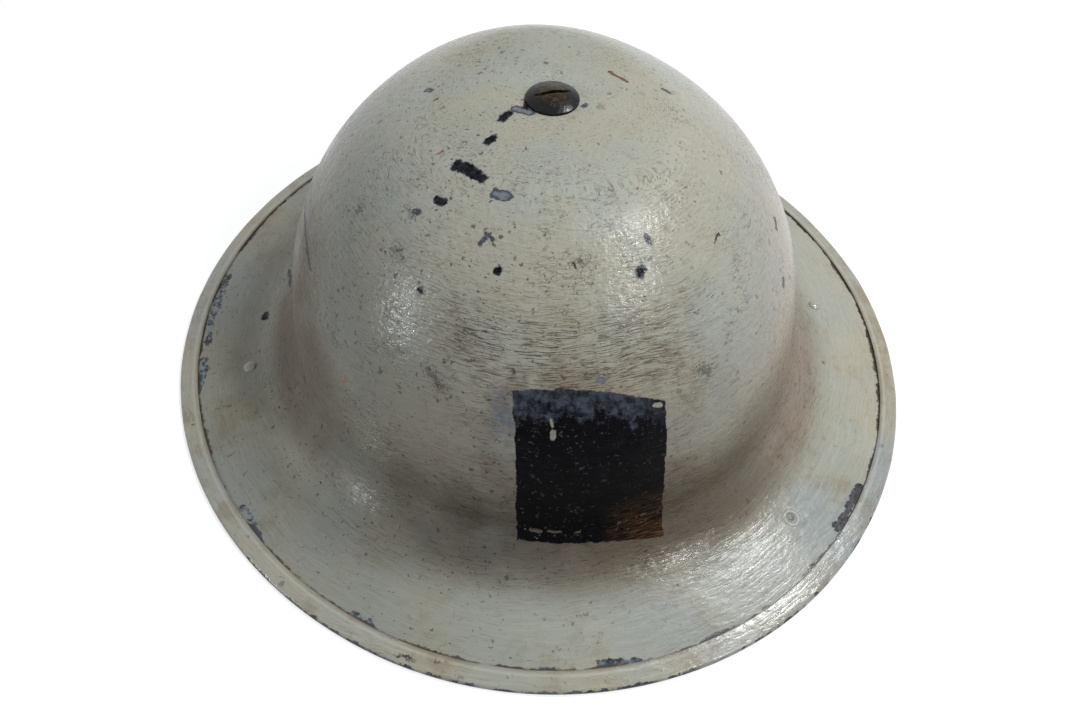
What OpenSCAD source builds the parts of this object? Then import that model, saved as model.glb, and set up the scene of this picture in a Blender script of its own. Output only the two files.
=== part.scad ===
// Steel helmet with a wide brim, a one-screw liner and a swinging chin strap.
// Millimetres. Origin at the middle of the plane that the rim rests on. +Z up, the front towards -Y.

/* [Shell] */
// Length of the helmet from the front of the rim to the rear
rim_length = 306; // [302:1:310]
// Width of the helmet across the rim
rim_width = 289; // [286:1:292]
// Height of the bowl's crown above the plane that the rim rests on
shell_height = 121.5; // [118.5:0.5:124.5]
// Thickness of the painted sheet steel
shell_sheet = 1.1; // [0.9:0.1:1.3]
// Radius of the arc over the crown
crown_arc = 90; // [86:1:94]
// Slope in degrees where the crown's arc meets the shoulder's
crown_slope = 27; // [25:1:29]
// Radius of the arc down the shoulder
shoulder_arc = 84; // [81:1:87]
// Slope of the bowl's wall in degrees
wall_slope = 83; // [81:1:85]
// Radius of the flare between wall and brim
flare_arc = 22; // [20:1:24]
// Slope of the brim in degrees
brim_slope = 13.5; // [12.5:0.5:14.5]

/* [Brim hole] */
// Radius of the small hole drilled in the brim
brim_hole_radius = 1.6; // [1:0.1:2.5]
// Place of the brim hole to the right of the middle
brim_hole_x = 74; // [70:1:78]
// Place of the brim hole forward of the middle
brim_hole_forward = 102; // [98:1:106]

/* [Rim strip] */
// Width of the folded strip over the brim's edge
strip_width = 6; // [4.5:0.5:8]
// Thickness of the strip's steel
strip_sheet = 0.7; // [0.5:0.1:0.9]
// Gap of the strip's butt joint at the rear
strip_butt = 0.8; // [0.4:0.1:1.5]
// Depth of the flat worn along the strip's underside
strip_wear = 0.3; // [0.2:0.05:0.5]

/* [Crown screw] */
// Radius of the domed head
screw_head_radius = 9; // [8:0.5:11]
// Height of the domed head
screw_head_height = 3; // [2.5:0.25:4]
// Height of the head's upright edge
screw_head_edge = 0.8; // [0.5:0.1:1.2]
// Width of the screwdriver slot
slot_width = 1.7; // [1.2:0.1:2.2]
// Depth of the screwdriver slot
slot_depth = 1.5; // [1:0.1:2]
// Radius of the screw's shank
screw_radius = 3; // [2.5:0.25:3.5]
// Length of thread that shows below the nut
screw_tail = 1.2; // [0.5:0.1:2]
// Side of the square nut
nut_side = 10; // [9:0.5:11]
// Thickness of the square nut
nut_thickness = 4.5; // [4:0.5:5]
// Radius of the clamping washer
clamp_radius = 9; // [8:0.5:10]
// Thickness of the clamping washer
clamp_thickness = 1.2; // [1:0.1:1.5]
// Radius of the fibre seat washer under the shell
seat_radius = 14; // [12:1:16]
// Thickness of the fibre seat washer
seat_thickness = 3; // [2:0.5:4]

/* [Liner] */
// Length of the head opening inside the headband
head_length = 185; // [183:1:186]
// Width of the head opening inside the headband
head_width = 153; // [151:1:155]
// Thickness of the padded headband
headband_thickness = 2.4; // [2:0.2:2.8]
// Height of the headband's lower edge above the rest plane
headband_bottom = 24.6; // [24.4:0.2:25.2]
// Height of the headband's upper edge above the rest plane
headband_top = 50; // [48:1:51]
// Height of the hem that wraps round the hoop's lower edge
headband_hem = 4; // [3:0.5:4.5]
// Thickness of the hem
hem_thickness = 1.4; // [1.2:0.1:1.6]
// Thickness of the fibre hoop
hoop_thickness = 1.2; // [1:0.1:1.4]
// Height of the hoop's upper edge above the rest plane
hoop_top = 52; // [51.5:0.25:52.5]
// Width of the fibre straps
strap_width = 24; // [22:1:26]
// Thickness of the fibre straps
strap_thickness = 1.2; // [1:0.1:1.4]
// Height of the straps' lower ends above the rest plane
strap_end = 33; // [32.5:0.5:34]
// Radius of the straps' bend beside the crown screw
strap_crown_bend = 28; // [24:1:32]
// Radius of the straps' bend on to the hoop
strap_hoop_bend = 16; // [14:1:18]
// Distance between the two rivets of a strap end
strap_rivet_spacing = 12; // [10:1:14]
// Radius of the strap rivets' heads
strap_rivet_head = 2.6; // [2.2:0.1:3]
// Radius of the crown pad's hole
pad_hole = 11; // [10.5:0.5:12]
// Thickness of the crown pad
pad_thickness = 7; // [6:0.5:8]
// Width of the crown pad's arms
pad_width = 26; // [24:1:30]
// Reach of the crown pad's arms from the middle
pad_reach = 50; // [45:1:55]

/* [Buffers] */
// Width of the rubber buffers
buffer_width = 24; // [20:1:24]
// Height of the rubber buffers' lower faces above the rest plane
buffer_bottom = 34.5; // [34:0.5:34.5]
// Height of the rubber buffers
buffer_height = 12; // [10:1:12]
// Radius of the buffers' rounded corners
buffer_corner = 3; // [2:0.5:4]
// Radius of the pocket for the rivet's head
buffer_pocket = 4; // [3.5:0.25:4.5]
// Thickness of rubber under the rivet's head
buffer_web = 1.4; // [1.2:0.1:1.6]

/* [Chin strap] */
// Height of the lug pins' axis above the rest plane
pivot_height = 13; // [12.6:0.1:13.6]
// Place of the lug pins forward of the middle
pivot_forward = 3.5; // [1:0.5:6]
// Radius of the lug pins
pin_radius = 2; // [1.6:0.1:2.2]
// Radius of the lug pins' heads
pin_head_radius = 3.8; // [3.4:0.1:4.2]
// Thickness of the lugs' steel
lug_sheet = 1.5; // [1.2:0.1:1.8]
// Width of the lugs
lug_width = 13; // [11:1:15]
// Distance of the lug rivets from the middle
lug_rivet_x = 116.5; // [115.5:0.5:117.5]
// Radius of the lug rivets' shanks
lug_rivet_radius = 1.4; // [1.2:0.1:1.6]
// Radius of the lug rivets' domed heads
lug_rivet_head = 2.6; // [2.3:0.1:3]
// Thickness of the end links
link_sheet = 1.5; // [1.2:0.1:1.8]
// Length from the link's pivot to the middle of its webbing bar
link_reach = 18; // [17:0.5:20]
// Width of the bars round the link's window
link_bar = 3; // [2.4:0.2:3.4]
// Width of the rails beside the link's window
link_rail = 2.2; // [1.8:0.2:2.6]
// Width of the woven chin strap
webbing_width = 19; // [17:1:19]
// Thickness of one layer of webbing
webbing_thickness = 1.2; // [1:0.1:1.4]
// Radius of the strap's path round the front of the bowl's mouth
webbing_end_radius = 82; // [81:0.5:83]
// Length of the doubled webbing sewn at each link, in degrees along its arc
webbing_doubled = 14; // [10:1:20]
// Length of the strap's free tail, in degrees along its arc
webbing_tail = 30; // [26:1:34]
// Length of the brass tip, in degrees along its arc
tip_span = 6; // [5:0.5:8]
// Thickness of the slide buckle's bars
buckle_bar = 1.2; // [1:0.1:1.4]
// Length of the slide buckle, in degrees along its arc
buckle_span = 9; // [8:0.5:10]
// Place of the slide buckle, in degrees to the left of the front
buckle_place = 18; // [16:1:20]

/* [Hidden] */
$fn = 96;

// Clearances between mating pieces
seam = 0.05;
soft_gap = 0.3;
hole_gap = 0.3;
pin_gap = 0.05;
side_gap = 0.3;
bar_play = 0.2;

// Far enough to reach past every piece, and the depth of the bores through sheet and straps
beyond = 200;
bore_depth = 20;

// Heights of the rivets' and pins' domes, and of their upright edges
dome_edge = 0.2;
strap_rivet_dome = 0.8;
buffer_rivet_dome = 1;
lug_rivet_dome = 1.2;
lug_rivet_tail = 0.9;
pin_head_dome = 1.5;
pin_tail_dome = 0.8;

// Ovals: four arcs whose centres lie 4 and 3 units from the middle, so that the arcs meet at 3-4-5 triangles.
// An oval is known by its unit and by the radius of its end arcs.
shell_unit = (rim_length - rim_width)/4;
head_unit = (head_length - head_width)/4;
join_angle = atan2(4, 3);

function snap(p) = [for (v = p) round(v*1000)/1000];
function arc(centre, radius, from, to, steps) =
    [for (i = [0:steps]) let (a = from + (to - from)*i/steps) centre + radius*[sin(a), cos(a)]];
function sag(radius, half) = radius - sqrt(radius*radius - half*half);
function reversed(points) = [for (i = [len(points) - 1:-1:0]) points[i]];
function both_sides(points) = concat([for (p = reversed(points)) [-p[0], p[1]]], points);

// Section of the shell in an end arc: x is the distance from the arc's centre, y is the height
down_wall = [cos(wall_slope), -sin(wall_slope)];
up_wall = [sin(wall_slope), cos(wall_slope)];
down_brim = [cos(brim_slope), -sin(brim_slope)];
up_brim = [sin(brim_slope), cos(brim_slope)];
rim_radius = rim_length/2 - 4*shell_unit;
fold_radius = strip_sheet + seam + shell_sheet/2;
edge = [rim_radius - fold_radius, fold_radius - strip_wear];
brim_edge = edge + up_brim*shell_sheet/2;
arcs_out = crown_arc*sin(crown_slope) + shoulder_arc*(sin(wall_slope) - sin(crown_slope))
    + flare_arc*(sin(wall_slope) - sin(brim_slope));
arcs_down = crown_arc*(1 - cos(crown_slope)) + shoulder_arc*(cos(crown_slope) - cos(wall_slope))
    + flare_arc*(cos(brim_slope) - cos(wall_slope));
left_out = brim_edge[0] - arcs_out;
left_down = shell_height - brim_edge[1] - arcs_down;
wall_length = (left_down*cos(brim_slope) - left_out*sin(brim_slope))/sin(wall_slope - brim_slope);
crown_centre = [0, shell_height - crown_arc];
shoulder_centre = crown_centre + (crown_arc - shoulder_arc)*[sin(crown_slope), cos(crown_slope)];
wall_top = shoulder_centre + shoulder_arc*up_wall;
wall_foot = wall_top + wall_length*down_wall;
flare_centre = wall_foot + flare_arc*up_wall;
brim_root = flare_centre - flare_arc*up_brim;

// The shell's surface at a depth inside its outer face
function shell_line(depth) = [for (p = concat(
    arc(crown_centre, crown_arc - depth, 0, crown_slope, 4),
    arc(shoulder_centre, shoulder_arc - depth, crown_slope, wall_slope, 8),
    arc(flare_centre, -(flare_arc + depth), wall_slope, brim_slope, 7),
    [brim_edge - depth*up_brim])) snap(p)];
function shell_section() = concat(shell_line(0), reversed(shell_line(shell_sheet)));

// Reach of the bowl's straight wall from the end arc's centre at a height, on the inside
function wall_reach(z) = wall_foot[0] - shell_sheet/sin(wall_slope) - (z - wall_foot[1])/tan(wall_slope);
// Height of the brim's upper face at a distance from the end arc's centre
function brim_height(r) = brim_root[1] - (r - brim_root[0])*tan(brim_slope);

// Heights of the stack on the crown screw
under_crown = shell_line(shell_sheet);
crown_fall = (under_crown[0][1] - under_crown[1][1])/under_crown[1][0];
seat_top = under_crown[0][1] - crown_fall*(seat_radius - 2*shell_unit) - seam;
long_top = seat_top - seat_thickness;
cross_top = long_top - strap_thickness;
clamp_top = cross_top - strap_thickness;
nut_top = clamp_top - clamp_thickness;
screw_end = nut_top - nut_thickness - screw_tail;

// Liner sizes
hoop_inner = headband_thickness + soft_gap;
hoop_outer = hoop_inner + hoop_thickness;
hoop_bottom = headband_bottom + headband_thickness + soft_gap;
flat_margin = 2;
strap_flat = strap_width/2 + flat_margin;
hoop_end_radius = head_length/2 + hoop_outer - 4*head_unit;
hoop_side_radius = hoop_end_radius + 5*head_unit;
pad_top = clamp_top - soft_gap;
pad_corner = 9;
long_reach = head_length/2 + hoop_outer;
cross_reach = head_width/2 + hoop_outer;
strap_rivet_shank = 1.3;
buffer_rivet_shank = 1.5;
buffer_middle = buffer_bottom + buffer_height/2;
strap_rivet_height = (buffer_bottom + buffer_height + hoop_top)/2;
// Distance of a strap end's outer face from the middle: along X where turn is 0 or 180, along Y otherwise
function strap_face(turn) = (turn % 180 == 0 ? cross_reach : long_reach) + strap_thickness;

// Chin strap sizes: the strap follows an oval inside the bowl's mouth, with the shell's unit
webbing_side_radius = webbing_end_radius + 5*shell_unit;
bar_forward = link_reach + pivot_forward;
link_x = sqrt(webbing_side_radius*webbing_side_radius - bar_forward*bar_forward) - 3*shell_unit;
lug_x = link_x + link_sheet/2 + side_gap;
sleeve_inner = norm([link_bar/2, link_sheet/2]) + bar_play;
sleeve_outer = sleeve_inner + webbing_thickness;
link_width = webbing_width + 2*side_gap + 2*link_rail;
webbing_start = bar_forward + sleeve_inner + bar_play;

// A section for the side arcs: moved outwards, but still closed to the axis where it starts and ends there
function side_section(points, unit) = concat(points[0][0] == 0 ? [points[0]] : [],
    [for (p = points) p + [5*unit, 0]],
    points[len(points) - 1][0] == 0 ? [points[len(points) - 1]] : []);

// Sweeps a section round an oval. The points give the distance from the end arc's centre and the height.
module oval_sweep(points, unit) {
    spread = 60;
    slack = 2;
    for (turn = [0, 180]) rotate([0, 0, turn]) {
        intersection() {
            translate([0, 4*unit, 0])
                rotate_extrude(start = join_angle - slack, angle = 180 - 2*join_angle + 2*slack) polygon(points);
            translate([0, 0, -beyond/2]) linear_extrude(2*beyond)
                polygon([[0, 4*unit], [3*spread, 4*unit + 4*spread], [-3*spread, 4*unit + 4*spread]]);
        }
        intersection() {
            translate([-3*unit, 0, 0]) rotate_extrude(start = -join_angle - slack, angle = 2*join_angle + 2*slack)
                polygon(side_section(points, unit));
            translate([0, 0, -beyond/2]) linear_extrude(2*beyond)
                polygon([[0, -4*unit], [3*spread, -4*unit - 4*spread], [3*spread, 4*unit + 4*spread], [0, 4*unit]]);
        }
    }
}

// A domed head standing on z = 0
module domed_head(radius, height, side) {
    dome = height - side;
    ball = (radius*radius + dome*dome)/(2*dome);
    reach = asin(radius/ball);
    rotate_extrude() polygon(concat([[0, 0], [radius, 0]], [for (i = [8:-1:1]) let (a = reach*i/8)
        [ball*sin(a), height - ball*(1 - cos(a))]], [[0, height]]));
}

// A bore along Z, centred on z = 0
module bore(radius) cylinder(r = radius, h = bore_depth, center = true);

module rounded_plate(width, height, corner) {
    square([width - 2*corner, height], center = true);
    square([width, height - 2*corner], center = true);
    for (x = [-1, 1], y = [-1, 1]) translate([x*(width/2 - corner), y*(height/2 - corner)]) circle(corner);
}

// The bowl and its brim, pressed from one sheet
module shell() color("#c6c8be") difference() {
    oval_sweep(shell_section(), shell_unit);
    hole_height = brim_height(norm([brim_hole_x, brim_hole_forward - 4*shell_unit]));
    translate([0, 0, shell_height]) bore(screw_radius + hole_gap);
    for (side = [-1, 1]) lug_rivet_place(side) bore(lug_rivet_radius + seam);
    translate([brim_hole_x, -brim_hole_forward, hole_height]) bore(brim_hole_radius);
}

// The folded strip: two leaves round the sheet's edge, cut flat where the helmet rests
module rim_strip() color("#b9bcb4") difference() {
    steps = 8;
    leaf_out = fold_radius*up_brim;
    leaf_in = (fold_radius - strip_sheet)*up_brim;
    back = edge - strip_width*down_brim;
    flat_slope = acos(-edge[1]/fold_radius);
    under = edge - leaf_out;
    outside = arc(edge, fold_radius, brim_slope, flat_slope, steps);
    inside = arc(edge, fold_radius - strip_sheet, brim_slope + 180, brim_slope, steps);
    oval_sweep([for (p = concat([back + leaf_out], outside, [[under[0] + under[1]/tan(brim_slope), 0]],
        [back - leaf_out, back - leaf_in], inside, [back + leaf_in])) snap(p)], shell_unit);
    translate([-strip_butt/2, rim_length/2 - 2*strip_width, -strip_width])
        cube([strip_butt, 3*strip_width, 3*strip_width]);
}

// The slotted screw through the crown
module crown_screw() color("#6d5a38") {
    difference() {
        translate([0, 0, shell_height]) domed_head(screw_head_radius, screw_head_height, screw_head_edge);
        translate([-beyond/2, -slot_width/2, shell_height + screw_head_height - slot_depth])
            cube([beyond, slot_width, 2*slot_depth]);
    }
    translate([0, 0, screw_end]) cylinder(r = screw_radius, h = shell_height - screw_end + screw_head_edge/2);
}

module washer(top, radius, thickness) translate([0, 0, top - thickness]) difference() {
    cylinder(r = radius, h = thickness);
    bore(screw_radius + hole_gap);
}

// The fibre washer between shell and liner
module seat_washer() color("#5a4632") washer(seat_top, seat_radius, seat_thickness);

// The steel washer under the crossed straps
module clamp_washer() color("#8b8d8c") washer(clamp_top, clamp_radius, clamp_thickness);

// The square nut that clamps the liner
module crown_nut() color("#9a8350") translate([0, 0, nut_top - nut_thickness]) difference() {
    translate([-nut_side/2, -nut_side/2, 0]) cube([nut_side, nut_side, nut_thickness]);
    bore(screw_radius + seam);
}

// A liner strap's line: flat under the screw, a bend, a straight run, a bend and straight down the hoop.
// The run touches the circles of both bends. The line lies a given distance outside the inner face.
function bend_centre(top) = [strap_flat, top - strap_crown_bend];
function hoop_centre(reach) = [reach - strap_hoop_bend, hoop_top];
function run_slope(reach, top) = let (span = hoop_centre(reach) - bend_centre(top))
    atan2(span[0], span[1]) - acos((strap_crown_bend - strap_hoop_bend)/norm(span));
function strap_line(reach, top, offset) = let (slope = run_slope(reach, top)) concat(
    arc(bend_centre(top), strap_crown_bend + offset, 0, slope, 6),
    arc(hoop_centre(reach), strap_hoop_bend + offset, slope, 90, 6),
    [[reach + offset, strap_end]]);
function run_line(reach, top, offset) = let (slope = run_slope(reach, top)) concat(
    arc(bend_centre(top), strap_crown_bend + offset, 0, slope, 6),
    [hoop_centre(reach) + (strap_hoop_bend + offset)*[sin(slope), cos(slope)]]);
module strip(line_out, line_in, width) rotate([90, 0, 0]) translate([0, 0, -width/2]) linear_extrude(width)
    polygon([for (p = concat(both_sides(line_out), reversed(both_sides(line_in)))) snap(p)]);
module strap(reach, top) difference() {
    base = top - strap_thickness;
    strip(strap_line(reach, base, strap_thickness), strap_line(reach, base, 0), strap_width);
    translate([0, 0, screw_end]) cylinder(r = screw_radius + hole_gap, h = beyond);
    for (side = [-1, 1]) {
        strap_rivet_places(side, reach) bore(strap_rivet_shank + seam);
        translate([side*reach, 0, buffer_middle]) rotate([0, 90, 0]) bore(buffer_rivet_shank + seam);
    }
}

// The two rivets of the strap end that points along X, with their axes outwards
module strap_rivet_places(side, reach) for (offset = [-1, 1])
    translate([side*reach, offset*strap_rivet_spacing/2, strap_rivet_height]) rotate([0, side*90, 0]) children();

// The strap from front to rear
module strap_long() color("#3f3227") rotate([0, 0, 90]) strap(long_reach, long_top);

// The strap from side to side, under the long one
module strap_cross() color("#3a2e25") strap(cross_reach, cross_top);

// The rivets of the four strap ends, set flush inside the hoop
module strap_rivets() color("#a08a58") for (turn = [0, 90]) rotate([0, 0, turn]) for (side = [-1, 1]) {
    reach = turn == 0 ? cross_reach : long_reach;
    radius = turn == 0 ? hoop_side_radius : hoop_end_radius;
    half = strap_rivet_spacing/2 + strap_rivet_shank;
    grip = hoop_thickness + sag(radius, half - 2*strap_rivet_shank) - seam;
    strap_rivet_places(side, reach) {
        translate([0, 0, -grip]) cylinder(r = strap_rivet_shank, h = grip + strap_thickness);
        translate([0, 0, strap_thickness]) domed_head(strap_rivet_head, strap_rivet_dome, dome_edge);
    }
}

function head_points(points) = [for (p = points) snap([head_length/2 - 4*head_unit + p[0], p[1]])];

// The fibre hoop
module hoop() color("#4a3b2c") difference() {
    oval_sweep(head_points([[hoop_inner, hoop_bottom], [hoop_outer, hoop_bottom], [hoop_outer, hoop_top],
        [hoop_inner, hoop_top]]), head_unit);
    for (side = [-1, 1]) {
        strap_rivet_places(side, cross_reach) bore(strap_rivet_shank + seam);
        rotate([0, 0, 90]) strap_rivet_places(side, long_reach) bore(strap_rivet_shank + seam);
    }
    buffer_places() bore(buffer_rivet_shank + seam);
}

// The padded headband: thick inside the hoop, its hem folded round the hoop's lower edge
module headband() color("#26211c") {
    hem_outer = hoop_outer + soft_gap + hem_thickness;
    round_off = 0.8;
    oval_sweep(head_points([[0, headband_bottom + 3*round_off], [round_off, headband_bottom + round_off],
        [3*round_off, headband_bottom], [hem_outer - round_off, headband_bottom],
        [hem_outer, headband_bottom + round_off], [hem_outer, hoop_bottom + headband_hem - round_off],
        [hem_outer - round_off/2, hoop_bottom + headband_hem], [hoop_outer + soft_gap, hoop_bottom + headband_hem],
        [hoop_outer + soft_gap, hoop_bottom - soft_gap], [headband_thickness, hoop_bottom - soft_gap],
        [headband_thickness, headband_top - round_off], [headband_thickness - round_off, headband_top],
        [round_off, headband_top], [0, headband_top - round_off]]), head_unit);
}

// The crossed pad under the straps, with a hole round the nut
module pad_arm(reach) intersection() {
    strip(run_line(reach, pad_top, 0), run_line(reach, pad_top, -pad_thickness), pad_width);
    linear_extrude(beyond) rounded_plate(2*pad_reach, pad_width, pad_corner);
}
module crown_pad() color("#3b3a38") difference() {
    union() {
        pad_arm(cross_reach);
        rotate([0, 0, 90]) pad_arm(long_reach);
    }
    translate([0, 0, pad_top]) bore(pad_hole);
}

// The places of the four buffers on the straps' outer faces, with the outward axis as Z
module buffer_place(turn) rotate([0, 0, turn]) translate([strap_face(turn), 0, buffer_middle]) rotate([0, 90, 0])
    children();
module buffer_places() for (turn = [0, 90, 180, 270]) buffer_place(turn) children();

// A rubber buffer that fills the space from a strap's end to the bowl's wall, with a pocket for its rivet
module buffer(turn) color("#4b4743") rotate([0, 0, turn]) {
    sideways = turn % 180 == 0;
    centre = sideways ? -3*shell_unit : 4*shell_unit;
    extra = sideways ? 5*shell_unit : 0;
    sweep = 40;
    low = buffer_bottom - buffer_corner;
    high = buffer_bottom + buffer_height + buffer_corner;
    inner = strap_face(turn) - centre - buffer_width/2;
    difference() {
        intersection() {
            translate([centre, 0, 0]) rotate_extrude(start = -sweep/2, angle = sweep) polygon([[inner, low],
                [wall_reach(low) + extra - soft_gap, low], [wall_reach(high) + extra - soft_gap, high],
                [inner, high]]);
            translate([strap_face(turn), 0, buffer_middle]) rotate([90, 0, 90]) linear_extrude(beyond)
                rounded_plate(buffer_width, buffer_height, buffer_corner);
        }
        translate([0, 0, buffer_middle]) rotate([0, 90, 0]) cylinder(r = buffer_rivet_shank + seam, h = beyond);
        translate([strap_face(turn) + buffer_web, 0, buffer_middle]) rotate([0, 90, 0])
            cylinder(r = buffer_pocket, h = beyond);
    }
}

// The buffers' rivets, set flush inside the hoop, their heads sunk in the pockets
module buffer_rivets() color("#a08a58") buffer_places() {
    grip = hoop_thickness + strap_thickness - seam;
    translate([0, 0, -grip]) cylinder(r = buffer_rivet_shank, h = grip + buffer_web);
    translate([0, 0, buffer_web]) domed_head(buffer_pocket - soft_gap, buffer_rivet_dome, dome_edge);
}

// Places the lug rivet of one side on the brim's upper face, its axis square to the brim
module lug_rivet_place(side) translate([side*lug_rivet_x, -pivot_forward, brim_height(lug_rivet_x - 2*shell_unit)])
    rotate([0, side*brim_slope, 0]) children();

// The domed rivets that hold the lugs through the brim
module lug_rivets() color("#bfc1b7") for (side = [-1, 1]) lug_rivet_place(side) {
    grip = shell_sheet + lug_sheet + seam;
    domed_head(lug_rivet_head, lug_rivet_dome, dome_edge);
    translate([0, 0, -grip]) cylinder(r = lug_rivet_radius, h = grip + dome_edge);
    translate([0, 0, -grip]) mirror([0, 0, 1]) domed_head(lug_rivet_head, lug_rivet_tail, dome_edge);
}

// A lug: one steel strip, riveted under the brim, run inwards and bent up into an ear with the pivot hole
module lug(side) color("#7f827f") mirror([side < 0 ? 1 : 0, 0, 0]) difference() {
    toe = 5;
    joggle = 1.5;
    joggle_start = 0.4;
    tongue_drop = 0.1;
    foot_root = brim_root - (shell_sheet + seam)*up_brim + [2*shell_unit, 0];
    foot_end = foot_root + (lug_rivet_x - brim_root[0] - 2*shell_unit + toe)*down_brim;
    step = foot_root - lug_sheet*up_brim;
    tongue_top = step[1] + lug_sheet - tongue_drop;
    tongue_bottom = tongue_top - lug_sheet;
    intersection() {
        translate([0, lug_width/2 - pivot_forward, 0]) rotate([90, 0, 0]) linear_extrude(lug_width)
            polygon([foot_root, foot_end, foot_end - lug_sheet*up_brim, step + joggle_start*down_brim,
                [step[0] - joggle, tongue_bottom], [lug_x, tongue_bottom], [lug_x, pivot_height + lug_width/2],
                [lug_x + lug_sheet, pivot_height + lug_width/2], [lug_x + lug_sheet, tongue_top],
                [step[0] - joggle, tongue_top]]);
        translate([0, -pivot_forward, 0]) union() {
            translate([0, 0, pivot_height]) rotate([0, 90, 0]) cylinder(d = lug_width, h = beyond);
            translate([0, -lug_width/2, pivot_height - beyond]) cube([beyond, lug_width, beyond]);
        }
    }
    translate([0, -pivot_forward, pivot_height]) rotate([0, 90, 0]) cylinder(r = pin_radius, h = beyond);
    lug_rivet_place(1) bore(lug_rivet_radius + seam);
}

// The pin that the link swings on, peened in the lug's ear
module lug_pin(side) color("#8d908e") mirror([side < 0 ? 1 : 0, 0, 0])
    translate([0, -pivot_forward, pivot_height]) {
    tail_lip = 1;
    head = link_x - link_sheet/2 - side_gap;
    translate([head, 0, 0]) rotate([0, 90, 0]) cylinder(r = pin_radius, h = lug_x + lug_sheet - head + dome_edge);
    translate([head, 0, 0]) rotate([0, -90, 0]) domed_head(pin_head_radius, pin_head_dome, 2*dome_edge);
    translate([lug_x + lug_sheet, 0, 0]) rotate([0, 90, 0])
        domed_head(pin_radius + tail_lip, pin_tail_dome, dome_edge);
}

// An end link: a round eye on the pin and a window whose far bar carries the webbing
module link(side) color("#8a8d8b") mirror([side < 0 ? 1 : 0, 0, 0])
    translate([link_x + link_sheet/2, -pivot_forward, pivot_height]) rotate([90, 0, -90]) linear_extrude(link_sheet)
    difference() {
        eye_wall = 4;
        window_room = 2.5;
        eye = pin_radius + eye_wall;
        window = sleeve_outer - link_bar/2 + window_room;
        union() {
            circle(eye);
            translate([0, -eye]) square([link_reach - link_bar/2 - window, 2*eye]);
            translate([link_reach - link_bar/2 - window - link_bar, -link_width/2])
                square([window + 2*link_bar, link_width]);
        }
        circle(pin_radius + pin_gap);
        translate([link_reach - link_bar/2 - window, -webbing_width/2 - side_gap])
            square([window, webbing_width + 2*side_gap]);
    }

// A stretch of webbing on an arc: from and to are degrees forward of the arc's own axis
function webbing_section(inner, outer) = [for (p = [[inner, pivot_height - webbing_width/2],
    [outer, pivot_height - webbing_width/2], [outer, pivot_height + webbing_width/2],
    [inner, pivot_height + webbing_width/2]]) snap(p)];

// The woven strap: round the front of the bowl's mouth, sewn back on itself round both links
module chin_webbing() color("#8a7c5c") {
    half = webbing_thickness/2;
    start = asin(webbing_start/webbing_side_radius);
    intersection() {
        oval_sweep(webbing_section(webbing_end_radius - half, webbing_end_radius + half), shell_unit);
        translate([-beyond/2, -beyond - webbing_start, 0]) cube([beyond, beyond, beyond]);
    }
    for (side = [-1, 1]) mirror([side < 0 ? 1 : 0, 0, 0]) {
        span = side > 0 ? webbing_tail : webbing_doubled;
        translate([-3*shell_unit, 0, 0]) rotate_extrude(start = -start - span, angle = span)
            polygon(webbing_section(webbing_side_radius - half - webbing_thickness, webbing_side_radius - half));
        translate([link_x, -bar_forward, pivot_height - webbing_width/2]) difference() {
            cylinder(r = sleeve_outer, h = webbing_width);
            translate([0, 0, -1]) cylinder(r = sleeve_inner, h = webbing_width + 2);
        }
    }
}

// The folded brass tip on the strap's tail
module webbing_tip() color("#b0944f") {
    half = webbing_thickness/2;
    outer = webbing_side_radius - half - seam;
    lip = 0.4;
    inner = webbing_side_radius - half - webbing_thickness - lip;
    low = pivot_height - webbing_width/2 - lip;
    high = pivot_height + webbing_width/2 + lip;
    end = asin(webbing_start/webbing_side_radius) + webbing_tail;
    translate([-3*shell_unit, 0, 0]) rotate_extrude(start = -end - tip_span, angle = tip_span)
        polygon([[inner, low], [outer, low], [outer, high], [inner, high]]);
}

// The slide buckle: end bars outside the strap and a middle bar inside it, between two rails
module slide_buckle() color("#a8905a") translate([0, -4*shell_unit, 0]) {
    half = webbing_thickness/2 + side_gap;
    inner = webbing_end_radius - half;
    outer = webbing_end_radius + half;
    low = pivot_height - webbing_width/2 - side_gap;
    high = pivot_height + webbing_width/2 + side_gap;
    from = -90 - buckle_place - buckle_span/2;
    for (rail = [[low - buckle_bar, low], [high, high + buckle_bar]])
        rotate_extrude(start = from, angle = buckle_span) polygon([[inner - buckle_bar, rail[0]],
            [outer + buckle_bar, rail[0]], [outer + buckle_bar, rail[1]], [inner - buckle_bar, rail[1]]]);
    bar_span = buckle_span/5;
    inset = 0.2;
    for (place = [inset, buckle_span - bar_span - inset])
        rotate_extrude(start = from + place, angle = bar_span) polygon([[outer, low - buckle_bar/2],
            [outer + buckle_bar, low - buckle_bar/2], [outer + buckle_bar, high + buckle_bar/2],
            [outer, high + buckle_bar/2]]);
    rotate_extrude(start = from + (buckle_span - bar_span)/2, angle = bar_span) polygon([
        [inner - buckle_bar, low - buckle_bar/2], [inner, low - buckle_bar/2], [inner, high + buckle_bar/2],
        [inner - buckle_bar, high + buckle_bar/2]]);
}

shell();
rim_strip();
crown_screw();
seat_washer();
strap_long();
strap_cross();
clamp_washer();
crown_nut();
crown_pad();
hoop();
headband();
strap_rivets();
buffer(270);  // buffer_front
buffer(90);  // buffer_rear
buffer(180);  // buffer_left
buffer(0);  // buffer_right
buffer_rivets();
lug_rivets();
lug(-1);  // lug_left
lug(1);  // lug_right
lug_pin(-1);  // lug_pin_left
lug_pin(1);  // lug_pin_right
link(-1);  // link_left
link(1);  // link_right
chin_webbing();
webbing_tip();
slide_buckle();
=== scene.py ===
import math

import bpy
from mathutils import Matrix, Vector, noise


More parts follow.
